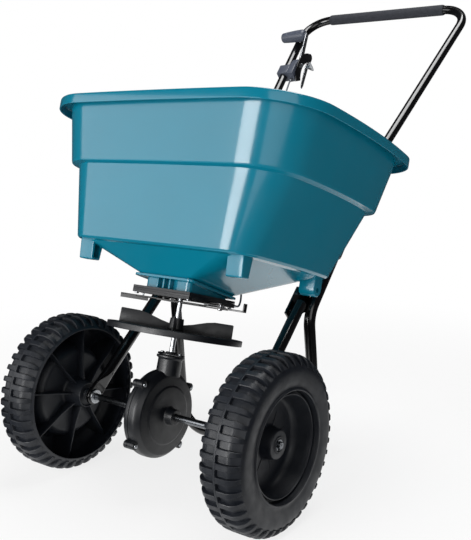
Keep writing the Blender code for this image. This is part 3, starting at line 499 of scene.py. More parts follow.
def finish(name, dark, light, tone_mm, roughness, gloss_mm, grain_mm, depth, stretch=(1, 1, 1), cells=False,
           **shader_values):
    """A material with a slow change of tone, patches of gloss and a fine relief, all sized in millimetres."""
    material = bpy.data.materials.new(name)
    material.use_nodes = True
    tree = material.node_tree
    tree.nodes.clear()
    place = add(tree, "ShaderNodeTexCoord").outputs["Object"]
    if stretch != (1, 1, 1):
        place = add(tree, "ShaderNodeMapping", {"Vector": place, "Scale": stretch}).outputs[0]
    tone = add(tree, "ShaderNodeTexNoise", {"Vector": place, "Scale": 1000 / tone_mm, "Detail": 3.0})
    colour = add(tree, "ShaderNodeMix", {0: tone.outputs[0], 6: (*dark, 1), 7: (*light, 1)}, data_type="RGBA")
    patches = add(tree, "ShaderNodeTexNoise", {"Vector": place, "Scale": 1000 / gloss_mm, "Detail": 4.0})
    gloss = add(tree, "ShaderNodeMapRange", {
        "Value": patches.outputs[0], "From Min": 0.3, "From Max": 0.7, "To Min": roughness[0],
        "To Max": roughness[1]})
    if cells:
        grain = add(tree, "ShaderNodeTexVoronoi",
                    {"Vector": place, "Scale": 1000 / grain_mm}).outputs["Distance"]
    else:
        grain = add(tree, "ShaderNodeTexNoise", {"Vector": place, "Scale": 1000 / grain_mm,
                                                 "Detail": 2.0}).outputs[0]
    relief = add(tree, "ShaderNodeBump", {"Height": grain, "Distance": depth, "Strength": 1.0})
    shader = add(tree, "ShaderNodeBsdfPrincipled", {
        "Base Color": colour.outputs[2], "Roughness": gloss.outputs[0], "Normal": relief.outputs[0]})
    for key, value in shader_values.items():
        shader.inputs[key.replace("_", " ")].default_value = value
    add(tree, "ShaderNodeOutputMaterial", {"Surface": shader.outputs[0]})
    return material


def tinted(colour, factor):
    return [min(value * factor, 1) for value in colour]


def make_finishes(colours):
    """Every finish of the machine, by the slot it belongs to."""
    made = {}
    # Rotation-moulded polyethylene comes glossy from the mould, with a slow ripple and faint cloudy flow.
    teal = colours.hopper
    made["hopper_polyethylene"] = finish(
        "moulded_polyethylene_teal", tinted(teal, 0.92), tinted(teal, 1.08), 140, (0.16, 0.24), 45, 6,
        0.00003,
        IOR=1.51, Coat_Weight=0.35, Coat_Roughness=0.06)
    # Gloss powder coat flows out to a wet-looking black with a fine orange peel, drawn at 1.6 mm.
    black = colours.frame
    made["black_powder_coat"] = finish(
        "gloss_black_powder_coat", tinted(black, 0.8), tinted(black, 1.2), 60, (0.14, 0.22), 30, 1.6,
        0.000012,
        IOR=1.5, Coat_Weight=0.5, Coat_Roughness=0.08)
    # Glass-filled nylon from a spark-eroded mould is dull black with a sandy grain, drawn at 0.9 mm.
    nylon = colours.moulding
    made["moulded_black"] = finish(
        "moulded_nylon_black", tinted(nylon, 0.85), tinted(nylon, 1.2), 25, (0.34, 0.46), 12, 0.9, 0.00003,
        IOR=1.53)
    # Blow-moulded polyethylene wheels are satin charcoal, a little cloudy where the skin thins.
    wheel = colours.wheel
    made["wheel_plastic"] = finish(
        "blow_moulded_charcoal", tinted(wheel, 0.8), tinted(wheel, 1.25), 35, (0.40, 0.56), 18, 1.2, 0.00004,
        IOR=1.51)
    # Bright zinc plate is silver with cloudy grey patches where the passivation dried.
    made["zinc_plate"] = finish(
        "bright_zinc_plate", linear("A8ABAF"), linear("C2C5C8"), 14, (0.24, 0.34), 8, 0.6, 0.000006,
        Metallic=1.0)
    # Cold-drawn bar keeps fine draw lines along its length, so its shine streaks along the axle.
    made["bright_steel"] = finish(
        "cold_drawn_bar_steel", linear("5E6165"), linear("7E8185"), 12, (0.18, 0.28), 3, 0.8, 0.00001,
        stretch=(0.06, 1, 1), Metallic=1.0)
    # Injection-moulded grey ABS is even and softly satin, with a fine texture drawn at 0.8 mm.
    grey = colours.control
    made["grey_plastic"] = finish(
        "satin_grey_abs", tinted(grey, 0.9), tinted(grey, 1.1), 20, (0.36, 0.48), 10, 0.8, 0.00002, IOR=1.54)
    # Closed-cell foam shows its skinned cells as a pebbled dull surface, cells of about 1.4 mm.
    made["foam_grip"] = finish(
        "closed_cell_foam", linear("1E2025"), linear("33353C"), 8, (0.78, 0.92), 6, 1.4, 0.00025, cells=True,
        IOR=1.45)
    # Vinyl sheath over the cable is smooth grey with a slight wax bloom.
    made["cable_sheath"] = finish(
        "grey_vinyl_sheath", linear("3F434B"), linear("565B64"), 30, (0.34, 0.46), 15, 2.0, 0.00001, IOR=1.53)
    return made


def shop():
    """The finishes and node trees, made once and shared by every operator."""
    if not SHOP:
        SHOP.update(make_finishes(bpy.context.scene.spreader_colours))
        SHOP["evenly_round"] = evenly_round()
        SHOP["heads_on_points"] = heads_on_points()
    return SHOP


SHOP = {}


# Hopper


def hopper_outline(half_width, front, back, front_radius, back_radius, side_bulge, front_bulge, front_w,
                   back_w):
    """One level of the hopper: a rounded rectangle in x and v whose sides and front bow out."""
    points = [((half_width - front_radius) * i / 12, front) for i in range(12)]
    points += arc((half_width - front_radius, front + front_radius), front_radius, -90, 0, 14)
    start, end = front + front_radius, back - back_radius
    points += [(half_width, start + (end - start) * i / 14) for i in range(1, 14)]
    points += arc((half_width - back_radius, back - back_radius), back_radius, 0, 90, 14)
    points += [((half_width - back_radius) * i / 10, back) for i in range(9, -1, -1)]
    half = []
    for x, v in points:
        along = (v - front) / (back - front)
        side = side_bulge * 4 * along * (1 - along) * x / half_width
        nose = front_bulge * (1 - (x / half_width) ** 2) * max(1 - 2 * along, 0)
        half.append((x + side, v - nose, front_w + (back_w - front_w) * along))
    return half + [(-x, v, w) for x, v, w in reversed(half[1:-1])]


def hopper_lug(side, v):
    """A boxy mounting lug. The rear ones are bored for a bolt, the front ones hollow on the inner side."""
    if v > 0:
        lower = arc((v, 0.272), 0.014, 180, 360, 16)
        block = slab([(v + 0.014, 0.2975), (v - 0.014, 0.2975)] + lower, 0.155 * side, 0.189 * side, "YZX",
                     edge=0.0022)
        across = Matrix.Translation((0, v, 0.271)) @ Matrix.Rotation(math.pi / 2, 4, "Y")
        return carved(block, drill(0.0046, 0.12 * side, 0.20 * side, across))
    wedge = [(v + 0.0145, 0.2975), (v - 0.0145, 0.2975), (v - 0.0105, 0.2585), (v + 0.0105, 0.2585)]
    block = slab(wedge, 0.155 * side, 0.189 * side, "YZX", edge=0.0022)
    return carved(block, slab(rectangle(v - 0.0075, v + 0.0075, 0.2625, 0.2915), 0.15 * side, 0.1855 * side,
                              "YZX"))


class SPREADER_OT_hopper(bpy.types.Operator):
    """Builds the open hopper with its skirted rim, step, funnel, neck and lugs"""

    bl_idname = "spreader.hopper"
    bl_label = "Hopper"

    def execute(self, context):
        skirt = 0.551 - context.scene.spreader_sizes.rim_skirt
        stations = [
            (0.0012, 0.2615, -0.1485, 0.2925, 0.0835, 0.0725, 0.022, 0.006, 0.551, 0.551),
            (0.0050, 0.2840, -0.1690, 0.3170, 0.1000, 0.0850, 0.022, 0.006, 0.551, 0.551),
            (0.0012, 0.2840, -0.1690, 0.3170, 0.1000, 0.0850, 0.022, 0.006, skirt, skirt),
            (0.0012, 0.2812, -0.1662, 0.3142, 0.0972, 0.0822, 0.022, 0.006, skirt, skirt),
            (0.0015, 0.2812, -0.1662, 0.3142, 0.0972, 0.0822, 0.022, 0.006, 0.5475, 0.5475),
            (0.0015, 0.2640, -0.1500, 0.2960, 0.0850, 0.0745, 0.022, 0.006, 0.5475, 0.5475),
            (0.0012, 0.2475, -0.1365, 0.2715, 0.0795, 0.0695, 0.020, 0.006, 0.4385, 0.4385),
            (0.0010, 0.2462, -0.1352, 0.2702, 0.0782, 0.0682, 0.020, 0.006, 0.4350, 0.4350),
            (0.0012, 0.2325, -0.1235, 0.2565, 0.0680, 0.0600, 0.020, 0.006, 0.4330, 0.4330),
            (0.0022, 0.1980, -0.1160, 0.2060, 0.0440, 0.0500, 0.016, 0.005, 0.2985, 0.2985),
            (0.0020, 0.1945, -0.1125, 0.2025, 0.0410, 0.0470, 0.016, 0.005, 0.2948, 0.2948),
            (0.0035, 0.1800, -0.0990, 0.1880, 0.0380, 0.0420, 0.014, 0.004, 0.2940, 0.2940),
            (0.0020, 0.0620, -0.0580, 0.0760, 0.0100, 0.0100, 0.0, 0.0, 0.2480, 0.2320),
            (0.0008, 0.0690, -0.0640, 0.0830, 0.0120, 0.0120, 0.0, 0.0, 0.2470, 0.2310),
            (0.0008, 0.0690, -0.0640, 0.0830, 0.0120, 0.0120, 0.0, 0.0, 0.2430, 0.2270),
            (0.0008, 0.0520, -0.0460, 0.0740, 0.0100, 0.0100, 0.0, 0.0, 0.2420, 0.2268),
            (0.0008, 0.0520, -0.0460, 0.0740, 0.0100, 0.0100, 0.0, 0.0, 0.2250, 0.2250),
            (0.0008, 0.0485, -0.0425, 0.0705, 0.0070, 0.0070, 0.0, 0.0, 0.2250, 0.2250),
            (0.0015, 0.0485, -0.0425, 0.0705, 0.0070, 0.0070, 0.0, 0.0, 0.2460, 0.2345),
            (0.0040, 0.0580, -0.0530, 0.0725, 0.0080, 0.0080, 0.0, 0.0, 0.2525, 0.2365),
            (0.0080, 0.1780, -0.0960, 0.1860, 0.0430, 0.0410, 0.014, 0.004, 0.2985, 0.2985),
            (0.0050, 0.1945, -0.1125, 0.2025, 0.0545, 0.0525, 0.016, 0.005, 0.3050, 0.3050),
            (0.0030, 0.2283, -0.1193, 0.2523, 0.0645, 0.0565, 0.020, 0.006, 0.4335, 0.4335),
            (0.0030, 0.2405, -0.1295, 0.2645, 0.0725, 0.0625, 0.020, 0.006, 0.4385, 0.4385),
            (0.0060, 0.2445, -0.1335, 0.2685, 0.0765, 0.0665, 0.020, 0.006, 0.4450, 0.4450),
            (0.0040, 0.2585, -0.1455, 0.2895, 0.0805, 0.0705, 0.022, 0.006, 0.5370, 0.5370),
        ]
        shell = skin([hopper_outline(*row) for row in softened(stations, closed=True)], closed=True)
        extras = [hopper_lug(side, v) for side, _ in SIDES for v in (FRONT_LUG_V, REAR_LUG_V)]
        for x in (-0.014, 0.0, 0.014):
            neck_rib = rectangle(x - 0.0016, x + 0.0016, -0.0565, -0.0455)
            extras.append(slab(neck_rib, 0.2256, 0.2425, edge=0.0006))
        piece("hopper_shell", joined(shell, *extras), "hopper_polyethylene", ["hopper"], LEVEL, crease=38)
        return {"FINISHED"}


# Outlet, spinner and gearbox


class SPREADER_OT_outlet(bpy.types.Operator):
    """Builds the pattern slide under the outlet with its hangers, and the agitator"""

    bl_idname = "spreader.outlet"
    bl_label = "Outlet and slide"

    def execute(self, context):
        half = 0.146
        thin = 0.0045
        front = [(0.060, -0.022), (0.070, -0.012), (0.100, -0.010), (0.106, -thin), (half, -thin)]
        rear = [(half, thin), (0.106, thin), (0.100, 0.010), (0.074, 0.012), (0.064, 0.064)]
        strap = front + rear + [(-x, v) for x, v in (front + rear)[::-1]]
        blank = slab(strap, 0.205, 0.208, edge=0.0006, segments=2)
        finger = slab(rectangle(half - 0.0026, half, -thin, thin), 0.2052, 0.2208, edge=0.0006)
        slots = [slab(capsule((-0.015, 0), (0.015, 0), 0.00535), 0.20, 0.21)]
        for angle in (52, 90, 128):
            a = math.radians(angle)
            port = Matrix.Translation((0.05 * math.cos(a), 0.05 * math.sin(a), 0))
            slots.append(drill(0.011, 0.2, 0.215, port))
        for side, _ in SIDES:
            x = SLIDE_SCREW_X * side
            slots.append(slab(capsule((x - 0.015, 0), (x + 0.015, 0), 0.0026), 0.20, 0.215))
        cut = carved(blank, *slots)
        lip = slab(rectangle(-half, -0.076, -thin, -0.0022), 0.1992, 0.2070, edge=0.0006)
        piece("pattern_strap", joined(cut, finger, lip), "black_powder_coat", ["pattern_slide"], LEVEL,
              body="slide")
        bar = slab(rectangle(-0.066, 0.066, -0.0602, -0.0566), 0.2162, 0.2208, edge=0.0007)
        piece("gate_front_bar", bar, "moulded_black", place=LEVEL)
        for side, name in SIDES:
            x = 0.0822 * side
            plate = slab(capsule((x - 0.0098, 0), (x + 0.0098, 0), 0.006, 8), 0.2125, 0.2155, edge=0.0005)
            hole = drill(0.0024, 0.205, 0.22, Matrix.Translation((SLIDE_SCREW_X * side, 0, 0)))
            plate = carved(plate, hole)
            piece(f"hanger_{name}", plate, "black_powder_coat", [f"slide_hanger_{name}"], LEVEL)
        collar = lathe((0.0006, SHAFT_BORE, 0.262), (0.001, 0.009, 0.262), (0.001, 0.009, 0.276),
                       (0.0006, SHAFT_BORE, 0.276), steps=48)
        arms = []
        for side, _ in SIDES:
            path = smooth_path([Vector((0.0068 * side, 0, 0.269)), Vector((0.020 * side, 0, 0.2692)),
                                Vector((0.029 * side, 0, 0.2665)), Vector((0.038 * side, 0, 0.258))], 6)
            arms.append(tube(path, 0.0022, 16))
        piece("agitator_wire", joined(collar, *arms), "zinc_plate", ["agitator"], LEVEL, body="spinner_drive")
        return {"FINISHED"}


class SPREADER_OT_spinner(bpy.types.Operator):
    """Builds the spinner disc with its fins and the upright shaft"""

    bl_idname = "spreader.spinner"
    bl_label = "Spinner"

    def execute(self, context):
        disc = lathe(
            (0.0004, SHAFT_BORE, -0.004), (0.001, 0.013, -0.004), (0.001, 0.0140, 0.0), (0.002, 0.060, 0.0),
            (0.002, 0.0625, 0.0008), (0.002, 0.1190, 0.0008), (0.0015, 0.1225, -0.0006),
            (0.0004, 0.1225, -0.0068), (0.0008, 0.1250, -0.0068), (0.0015, 0.1250, 0.004),
            (0.001, 0.0170, 0.004), (0.0030, 0.0142, 0.006), (0.0010, 0.0125, 0.026),
            (0.0004, SHAFT_BORE, 0.026), steps=128)
        profile = [
            (0.0115, 0.0035), (0.1050, 0.0035), (0.1045, 0.0290), (0.1028, 0.0302), (0.0700, 0.0298),
            (0.0550, 0.0270), (0.0420, 0.0230), (0.0300, 0.0192), (0.0115, 0.0150),
        ]
        fin = slab(profile, -0.0013, 0.0013, "XZY", edge=0.0006, segments=2)
        root = slab(rectangle(0.0115, 0.104, 0.0038, 0.0052), -0.0026, 0.0026, "XZY", edge=0.0006, segments=2)
        fins = grown(joined(fin, root), shop()["evenly_round"],
                     Count=context.scene.spreader_sizes.spinner_fins,
                     Turn=math.radians(36), Finish=shop()["moulded_black"])
        piece("spinner_disc", joined(disc, fins), "moulded_black", ["spinner"],
              LEVEL @ Matrix.Translation((0, 0, SPINNER_W)), body="spinner_drive")
        shaft = lathe((0, 0, 0.048), (0.0006, 0.00475, 0.048), (0.002, 0.00475, 0.2865), (0, 0, 0.289),
                      steps=40)
        piece("upright_shaft", shaft, "zinc_plate", ["spinner_shaft"], LEVEL, body="spinner_drive")
        return {"FINISHED"}


ALONG_X = Matrix.Rotation(math.pi / 2, 4, "Y")
EAR_REACH = 0.0842
EAR_ANGLES = [math.radians(degrees) for degrees in (38, 142, 222, 318)]
EARS = [(EAR_REACH * math.cos(a), EAR_REACH * math.sin(a)) for a in EAR_ANGLES]


class SPREADER_OT_gearbox(bpy.types.Operator):
    """Builds the two gearbox halves with their ears, the neck and its cap"""

    bl_idname = "spreader.gearbox"
    bl_label = "Gearbox"

    def execute(self, context):
        outer, seam = 0.0807, -0.008
        left = moved(lathe(
            (0.0005, AXLE_BORE, -0.034), (0.0015, 0.014, -0.034), (0.002, 0.0155, -0.0224),
            (0.003, 0.050, -0.0222), (0.0015, 0.0520, -0.0205), (0.0015, 0.0600, -0.0205),
            (0.0015, 0.0620, -0.0218), (0.004, outer - 0.006, -0.0215), (0.003, outer - 0.0006, -0.0165),
            (0.0005, outer, seam - 0.0006), (0.0003, outer - 0.0006, seam - 0.00015),
            (0.0003, outer - 0.003, seam - 0.00015), (0.001, outer - 0.003, -0.0185),
            (0.0005, AXLE_BORE, -0.0185), steps=144), ALONG_X)
        right = moved(lathe(
            (0.0005, AXLE_BORE, 0.036), (0.0015, 0.014, 0.036), (0.003, 0.0155, 0.0198),
            (0.003, 0.040, 0.0187), (0.002, 0.052, 0.0178), (0.0015, 0.054, 0.0162), (0.003, 0.072, 0.0145),
            (0.0015, 0.074, 0.0124), (0.004, outer - 0.003, 0.0085), (0.003, outer - 0.0004, 0.0042),
            (0.0005, outer, seam + 0.0012), (0.0003, outer - 0.0008, seam + 0.0006),
            (0.0003, outer - 0.003, seam + 0.0006), (0.001, outer - 0.003, 0.0035), (0.002, 0.0705, 0.0115),
            (0.002, 0.051, 0.0145), (0.0005, AXLE_BORE, 0.0165), steps=144), ALONG_X)
        left_ears, right_ears = [], []
        for v, w in EARS:
            spot = Matrix.Translation((0, v, w)) @ ALONG_X
            left_ears.append(moved(lathe((0, 0, -0.0165), (0.0012, 0.0075, -0.0165),
                                         (0.0003, 0.0075, seam - 0.0002), (0, 0, seam - 0.0002),
                                         steps=40), spot))
            right_ears.append(moved(lathe((0, 0, seam + 0.0006), (0.0003, 0.0075, seam + 0.0006),
                                          (0.0012, 0.0075, 0.0065), (0, 0, 0.0065), steps=40), spot))
        neck = lathe((0, 0, 0.0705), (0.0005, 0.0225, 0.0705), (0.0012, 0.0222, 0.1005),
                     (0.0008, 0.026, 0.1028), (0.0008, 0.026, 0.1065), (0, 0, 0.1065), steps=72)
        gusset = [(0.000, 0.030), (0.0155, 0.030), (0.0150, 0.062), (0.0, 0.078)]
        gussets = [slab(gusset, v - 0.0016, v + 0.0016, "XZY", edge=0.0006) for v in (-0.012, 0.012)]
        piece("gearbox_shell_left", joined(left, *left_ears), "moulded_black", ["gearbox_left"], LEVEL)
        piece("gearbox_shell_right", joined(right, *right_ears, neck, *gussets), "moulded_black",
              ["gearbox_right"], LEVEL)
        outline = []
        for side in (0, 180):
            outline += arc((CAP_SCREW_X * math.cos(math.radians(side)), 0), 0.0085, side - 60, side + 60, 12)
            outline += arc((0, 0), 0.018, side + 50, side + 130, 12)
        cap = carved(slab(outline, 0.1068, 0.1105, edge=0.0008), drill(0.00515, 0.10, 0.12))
        boss = lathe((0.0003, 0.0052, 0.1095), (0.0005, 0.0115, 0.1095), (0.001, 0.0105, 0.1135),
                     (0.0004, 0.0052, 0.1135), steps=48)
        piece("bearing_cap", joined(cap, boss), "moulded_black", ["gearbox_cap"], LEVEL)
        return {"FINISHED"}


# Fasteners


def pan_head():
    """A cross-recessed pan head of 4.2 mm radius with its shank, head underside at 0."""
    head = lathe((0, 0, -0.010), (0.0004, 0.0017, -0.010), (0.0002, 0.0017, 0.0), (0.0003, 0.0042, 0.0),
                 (0.0018, 0.0041, 0.0022), (0, 0, 0.0028), steps=24, rounding=3)
    wings = [slab(rectangle(-0.0026, 0.0026, -0.00045, 0.00045), 0.0012, 0.0040),
             slab(rectangle(-0.00045, 0.00045, -0.0026, 0.0026), 0.0012, 0.0040)]
    return carved(head, *wings)


def hex_bolt(width, height, length, shank):
    """A hexagon head on a thin washer face, underside at 0."""
    reach = width / math.sqrt(3)

    def ring(radius, z):
        turns = [math.tau * k / 6 for k in range(6)]
        return [(radius * math.cos(a), radius * math.sin(a), z) for a in turns]

    head = skin([ring(reach, 0.0004), ring(reach, height)])
    cone = turned([(0, -0.001), (reach * 1.02, -0.001), (reach * 1.02, height * 0.72), (reach * 0.80, height),
                   (0, height)], 48)
    head = carved(head, cone, operation="INTERSECT")
    washer = lathe((0, 0, 0.0), (0.0002, width * 0.48, 0.0), (0.0002, width * 0.48, 0.0006), (0, 0, 0.0006),
                   steps=36)
    stem = lathe((0, 0, -length), (0.0004, shank, -length), (0.0001, shank, 0.0002), (0, 0, 0.0002), steps=24)
    return joined(head, washer, stem)


class SPREADER_OT_fasteners(bpy.types.Operator):
    """Sets the pan-head screws and the hexagon bolts"""

    bl_idname = "spreader.fasteners"
    bl_label = "Fasteners"

    def execute(self, context):
        zinc = shop()["zinc_plate"]
        spots = [((x, v, 0.2117), (0, 0, -1), 0.95) for x in (-0.0605, 0.0605) for v in (-0.054, 0.072)]
        spots += [((SLIDE_SCREW_X * side, 0, 0.2047), (0, 0, -1), 1.08) for side, _ in SIDES]
        spots += [((0.0068, v, w), (1, 0, 0), 1.0) for v, w in EARS]
        spots += [((CAP_SCREW_X * side, 0, 0.1108), (0, 0, 1), 0.92) for side, _ in SIDES]
        mesh = bpy.data.meshes.new("screw_points")
        mesh.from_pydata([spot[0] for spot in spots], [], [])
        mesh.attributes.new("facing", "FLOAT_VECTOR", "POINT")
        mesh.attributes.new("size", "FLOAT", "POINT")
        for i, (_, direction, size) in enumerate(spots):
            mesh.attributes["facing"].data[i].vector = direction
            mesh.attributes["size"].data[i].value = size
        points = bpy.data.objects.new("screw_points", mesh)
        context.collection.objects.link(points)
        head = loose_object(pan_head())
        modifier = points.modifiers.new("heads", "NODES")
        modifier.node_group = shop()["heads_on_points"]
        given = {"Head": head, "Finish": zinc}
        for item in modifier.node_group.interface.items_tree:
            if item.in_out == "INPUT" and item.name in given:
                modifier[item.identifier] = given[item.name]
        screws = settled(points, head)
        names = [f"outlet_screw_{i}" for i in (1, 2, 3, 4)] + ["slide_screw_left", "slide_screw_right"]
        names += [f"gearbox_screw_{i}" for i in (1, 2, 3, 4)] + ["cap_screw_1", "cap_screw_2"]
        piece("pan_head_screws", screws, "zinc_plate", names, LEVEL)
        for side, name in SIDES:
            for use, v, w in (("lug", REAR_LUG_V, 0.2655), ("strut", 0.1365, 0.2245)):
                bolt = hex_bolt(0.0105, 0.0045, 0.0036, 0.0032)
                piece(f"{use}_hex_bolt_{name}", bolt, "zinc_plate", [f"{use}_bolt_{name}"],
                      LEVEL @ facing((0.1502 * side, v, w), (-side, 0, 0)))
        return {"FINISHED"}


# Axle and wheels


class SPREADER_OT_axle(bpy.types.Operator):
    """Builds the axle with its bushes, washers and clips"""

    bl_idname = "spreader.axle"
    bl_label = "Axle"

    def execute(self, context):
        end, radius, root = AXLE_END, AXLE_RADIUS, AXLE_RADIUS - 0.0008
        half = [  # the clip's groove, then the chamfered end with its centre mark
            (0.0001, radius, 0.2561), (0.0001, root, 0.2562), (0.0001, root, 0.2578),
            (0.0001, radius, 0.2579),
            (0.0008, radius, end - 0.001), (0.0004, radius - 0.0009, end - 0.0002),
            (0.0004, 0.0022, end - 0.0004), (0.0005, 0.0018, end), (0, 0, end),
        ]
        bar = lathe(*[(reach, r, -x) for reach, r, x in half[::-1]], *half, steps=48, rounding=2)
        piece("axle_bar", bar, "bright_steel", ["axle"], LEVEL @ ALONG_X, body="drive")
        bore = 0.00665  # of the bushes, closer than the wheels run
        for side, name in SIDES:
            turn = Matrix.Rotation(side * math.pi / 2, 4, "Y")
            bush = lathe((0.0004, bore, 0.166), (0.0008, 0.0135, 0.166), (0.0008, 0.0135, 0.1698),
                         (0.0008, 0.0094, 0.1698), (0.0006, 0.0094, 0.1792), (0.0004, bore, 0.1792), steps=64)
            piece(f"bush_{name}", bush, "zinc_plate", [f"axle_bush_{name}"], LEVEL @ turn)
            washer = lathe((0.0003, bore, 0.1798), (0.0005, 0.0135, 0.1798), (0.0005, 0.0135, 0.1822),
                           (0.0003, bore, 0.1822), steps=64)
            piece(f"washer_{name}", washer, "zinc_plate", [f"axle_washer_{name}"], LEVEL @ turn)
            ring = lathe((0.0002, 0.0057, 0.2565), (0.0003, 0.0098, 0.2565), (0.0003, 0.0098, 0.2575),
                         (0.0002, 0.0057, 0.2575), steps=64)
            notch = slab(rectangle(0.0, 0.012, -0.0032, 0.0032), 0.25, 0.26)
            piece(f"clip_{name}", carved(ring, notch), "bright_steel", [f"axle_clip_{name}"], LEVEL @ turn,
                  body="drive")
        return {"FINISHED"}


WHEEL_RADIUS = 0.15235
TREAD_EDGE = [
    # x from the wheel's middle, radius, pocket depth as a share, then the surface's facing in x and radius
    (0.0190, 0.15235, 1.00, 0.00, 1.00),
    (0.0232, 0.15150, 1.00, 0.30, 0.95),
    (0.0275, 0.14940, 1.00, 0.48, 0.88),
    (0.0318, 0.14610, 1.00, 0.64, 0.77),
    (0.0352, 0.14230, 0.90, 0.78, 0.62),
    (0.0376, 0.13820, 0.65, 0.90, 0.44),
    (0.0388, 0.13430, 0.25, 0.97, 0.25),
]


def tread_bar(pitch, depth):
    """One tread bar at angle 0 of the outer row, from the middle rib over the shoulder."""
    pocket, corner = pitch * 0.285, 0.0026
    stations = []
    for into in (0.0, 0.0003, 0.0009, 0.0016, corner):
        open_width = pocket - corner + math.sqrt(corner**2 - (corner - into) ** 2)
        stations.append((0.0021 + into, WHEEL_RADIUS, 0.0, 1.0, pitch / 2 - open_width))
    for x, radius, _, across, out in TREAD_EDGE:
        stations.append((x, radius, across, out, pitch / 2 - pocket - 0.0006 * (x > 0.03)))
    rings = []
    for x, radius, across, out, half in stations:
        ring = []
        wide = min(half + 0.0009, pitch / 2)
        flank = [(0.0, half - 0.0008), (0.0007, half), (1.6 * depth, wide)]
        for drop, offset in [(drop, -offset) for drop, offset in flank[::-1]] + flank:
            r = radius - drop * out
            angle = offset / WHEEL_RADIUS
            ring.append((r * math.cos(angle), r * math.sin(angle), x - drop * across))
        rings.append(ring)
    return skin(rings)


def wheel_body(depth):
    """The wheel without its tread bars, turned about Z with the outer face up."""
    outer = [(0.0008, radius - depth * share * out, x - depth * share * across)
             for x, radius, share, across, out in TREAD_EDGE]
    inner = [(reach, radius, -x) for reach, radius, x in outer[::-1]]
    rib = [(0.0003, WHEEL_RADIUS - depth, 0.0028), (0.0005, WHEEL_RADIUS, 0.0019),
           (0.0005, WHEEL_RADIUS, -0.0019), (0.0003, WHEEL_RADIUS - depth, -0.0028)]
    hub_and_dish = [
        (0.0004, AXLE_BORE, 0.0182), (0.0004, 0.0108, 0.0182), (0.0005, 0.0116, 0.0199),
        (0.0005, 0.0142, 0.0199), (0.0005, 0.0150, 0.0184), (0.0012, 0.0240, 0.0184),
        (0.0030, 0.0256, 0.0140), (0.0040, 0.0285, -0.0045), (0.0030, 0.0560, -0.0052),
        (0.0050, 0.0750, -0.0058), (0.0040, 0.0800, 0.0030), (0.0015, 0.0848, 0.0290),
        (0.0007, 0.0854, 0.0318), (0.0007, 0.0876, 0.0318), (0.0006, 0.0882, 0.0225),
        (0.0006, 0.0928, 0.0225), (0.0008, 0.0936, 0.0392), (0.0010, 0.0948, 0.0402),
        (0.0010, 0.0972, 0.0398), (0.0010, 0.0988, 0.0378), (0.0020, 0.1020, 0.0376),
        (0.0040, 0.1100, 0.0394), (0.0040, 0.1200, 0.0402), (0.0030, 0.1280, 0.0398),
    ]
    back = [
        (0.0030, 0.1300, -0.0398), (0.0008, 0.1296, -0.0404), (0.0008, 0.1274, -0.0404),
        (0.0015, 0.1278, -0.0380), (0.0050, 0.1405, -0.0200), (0.0050, 0.1405, 0.0170),
        (0.0050, 0.1270, 0.0330), (0.0050, 0.0985, 0.0330), (0.0040, 0.0890, 0.0000),
        (0.0050, 0.0800, -0.0108), (0.0050, 0.0300, -0.0108), (0.0040, 0.0262, -0.0300),
        (0.0012, 0.0246, -0.0503), (0.0010, 0.0226, -0.0503), (0.0008, 0.0206, -0.0470),
        (0.0008, 0.0110, -0.0470), (0.0008, 0.0100, -0.0503), (0.0005, AXLE_BORE, -0.0503),
    ]
    return lathe(*hub_and_dish, *outer[::-1], *rib, *inner[::-1], *back, steps=168, rounding=3)


class SPREADER_OT_wheels(bpy.types.Operator):
    """Builds both wheels with their tread bars, dished faces and ribbed open backs"""

    bl_idname = "spreader.wheels"
    bl_label = "Wheels"

    def execute(self, context):
        sizes = context.scene.spreader_sizes
        charcoal = shop()["wheel_plastic"]
        pitch = math.tau * WHEEL_RADIUS / sizes.tread_bars
        dish = [(0.0262, -0.0065), (0.0560, -0.0068), (0.0545, -0.0047), (0.0400, -0.0036), (0.0262, -0.0026)]
        dish_rib = slab(dish, -0.0013, 0.0013, "XZY", edge=0.0006, segments=2)
        back = [
            (0.0262, -0.0100), (0.0800, -0.0100), (0.0890, 0.0020), (0.0985, 0.0335), (0.1270, 0.0335),
            (0.1395, 0.0150), (0.1395, -0.0120), (0.1180, -0.0180), (0.0600, -0.0250), (0.0270, -0.0340),
        ]
        back_rib = slab(back, -0.0012, 0.0012, "XZY", edge=0.0005, segments=2)
        rib_mesh = bpy.data.meshes.new("ribs")
        joined(dish_rib, back_rib).to_mesh(rib_mesh)
        for side, name in SIDES:
            shapes = [wheel_body(sizes.tread_depth)]
            for flip, phase in ((0, 0.0), (math.pi, pitch / 2 / WHEEL_RADIUS)):
                bar = tread_bar(pitch, sizes.tread_depth)
                row = grown(bar, shop()["evenly_round"], Count=sizes.tread_bars, Turn=phase, Finish=charcoal)
                shapes.append(moved(row, Matrix.Rotation(flip, 4, "X")))
            ribs = bmesh.new()
            ribs.from_mesh(rib_mesh)
            shapes.append(grown(ribs, shop()["evenly_round"], Count=sizes.back_ribs, Turn=0.2,
                                Finish=charcoal))
            middle = (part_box(f"wheel_{name}")[1 if side > 0 else 0].x) - side * 0.0404
            place = Matrix.Translation((middle, AXLE_Y, AXLE_Z)) @ Matrix.Rotation(side * math.pi / 2, 4, "Y")
            if side > 0:
                slot = slab(rectangle(-0.0520, -0.0452, -0.0029, 0.0029), -0.03, 0.03)
                tilt = Matrix.Translation((middle, AXLE_Y, AXLE_Z)) @ Matrix.Rotation(-REST_TILT, 4, "X")
                moved(slot, place.inverted() @ tilt)
                shapes[0] = carved(shapes[0], slot)
            piece(f"tyre_and_hub_{name}", joined(*shapes), "wheel_plastic", [f"wheel_{name}"], place,
                  body="drive" if side > 0 else "left_wheel", crease=34)
        bpy.data.meshes.remove(rib_mesh)
        return {"FINISHED"}


# Tubes


def mirrored(point, side):
    return Vector((point.x * side, point.y, point.z))


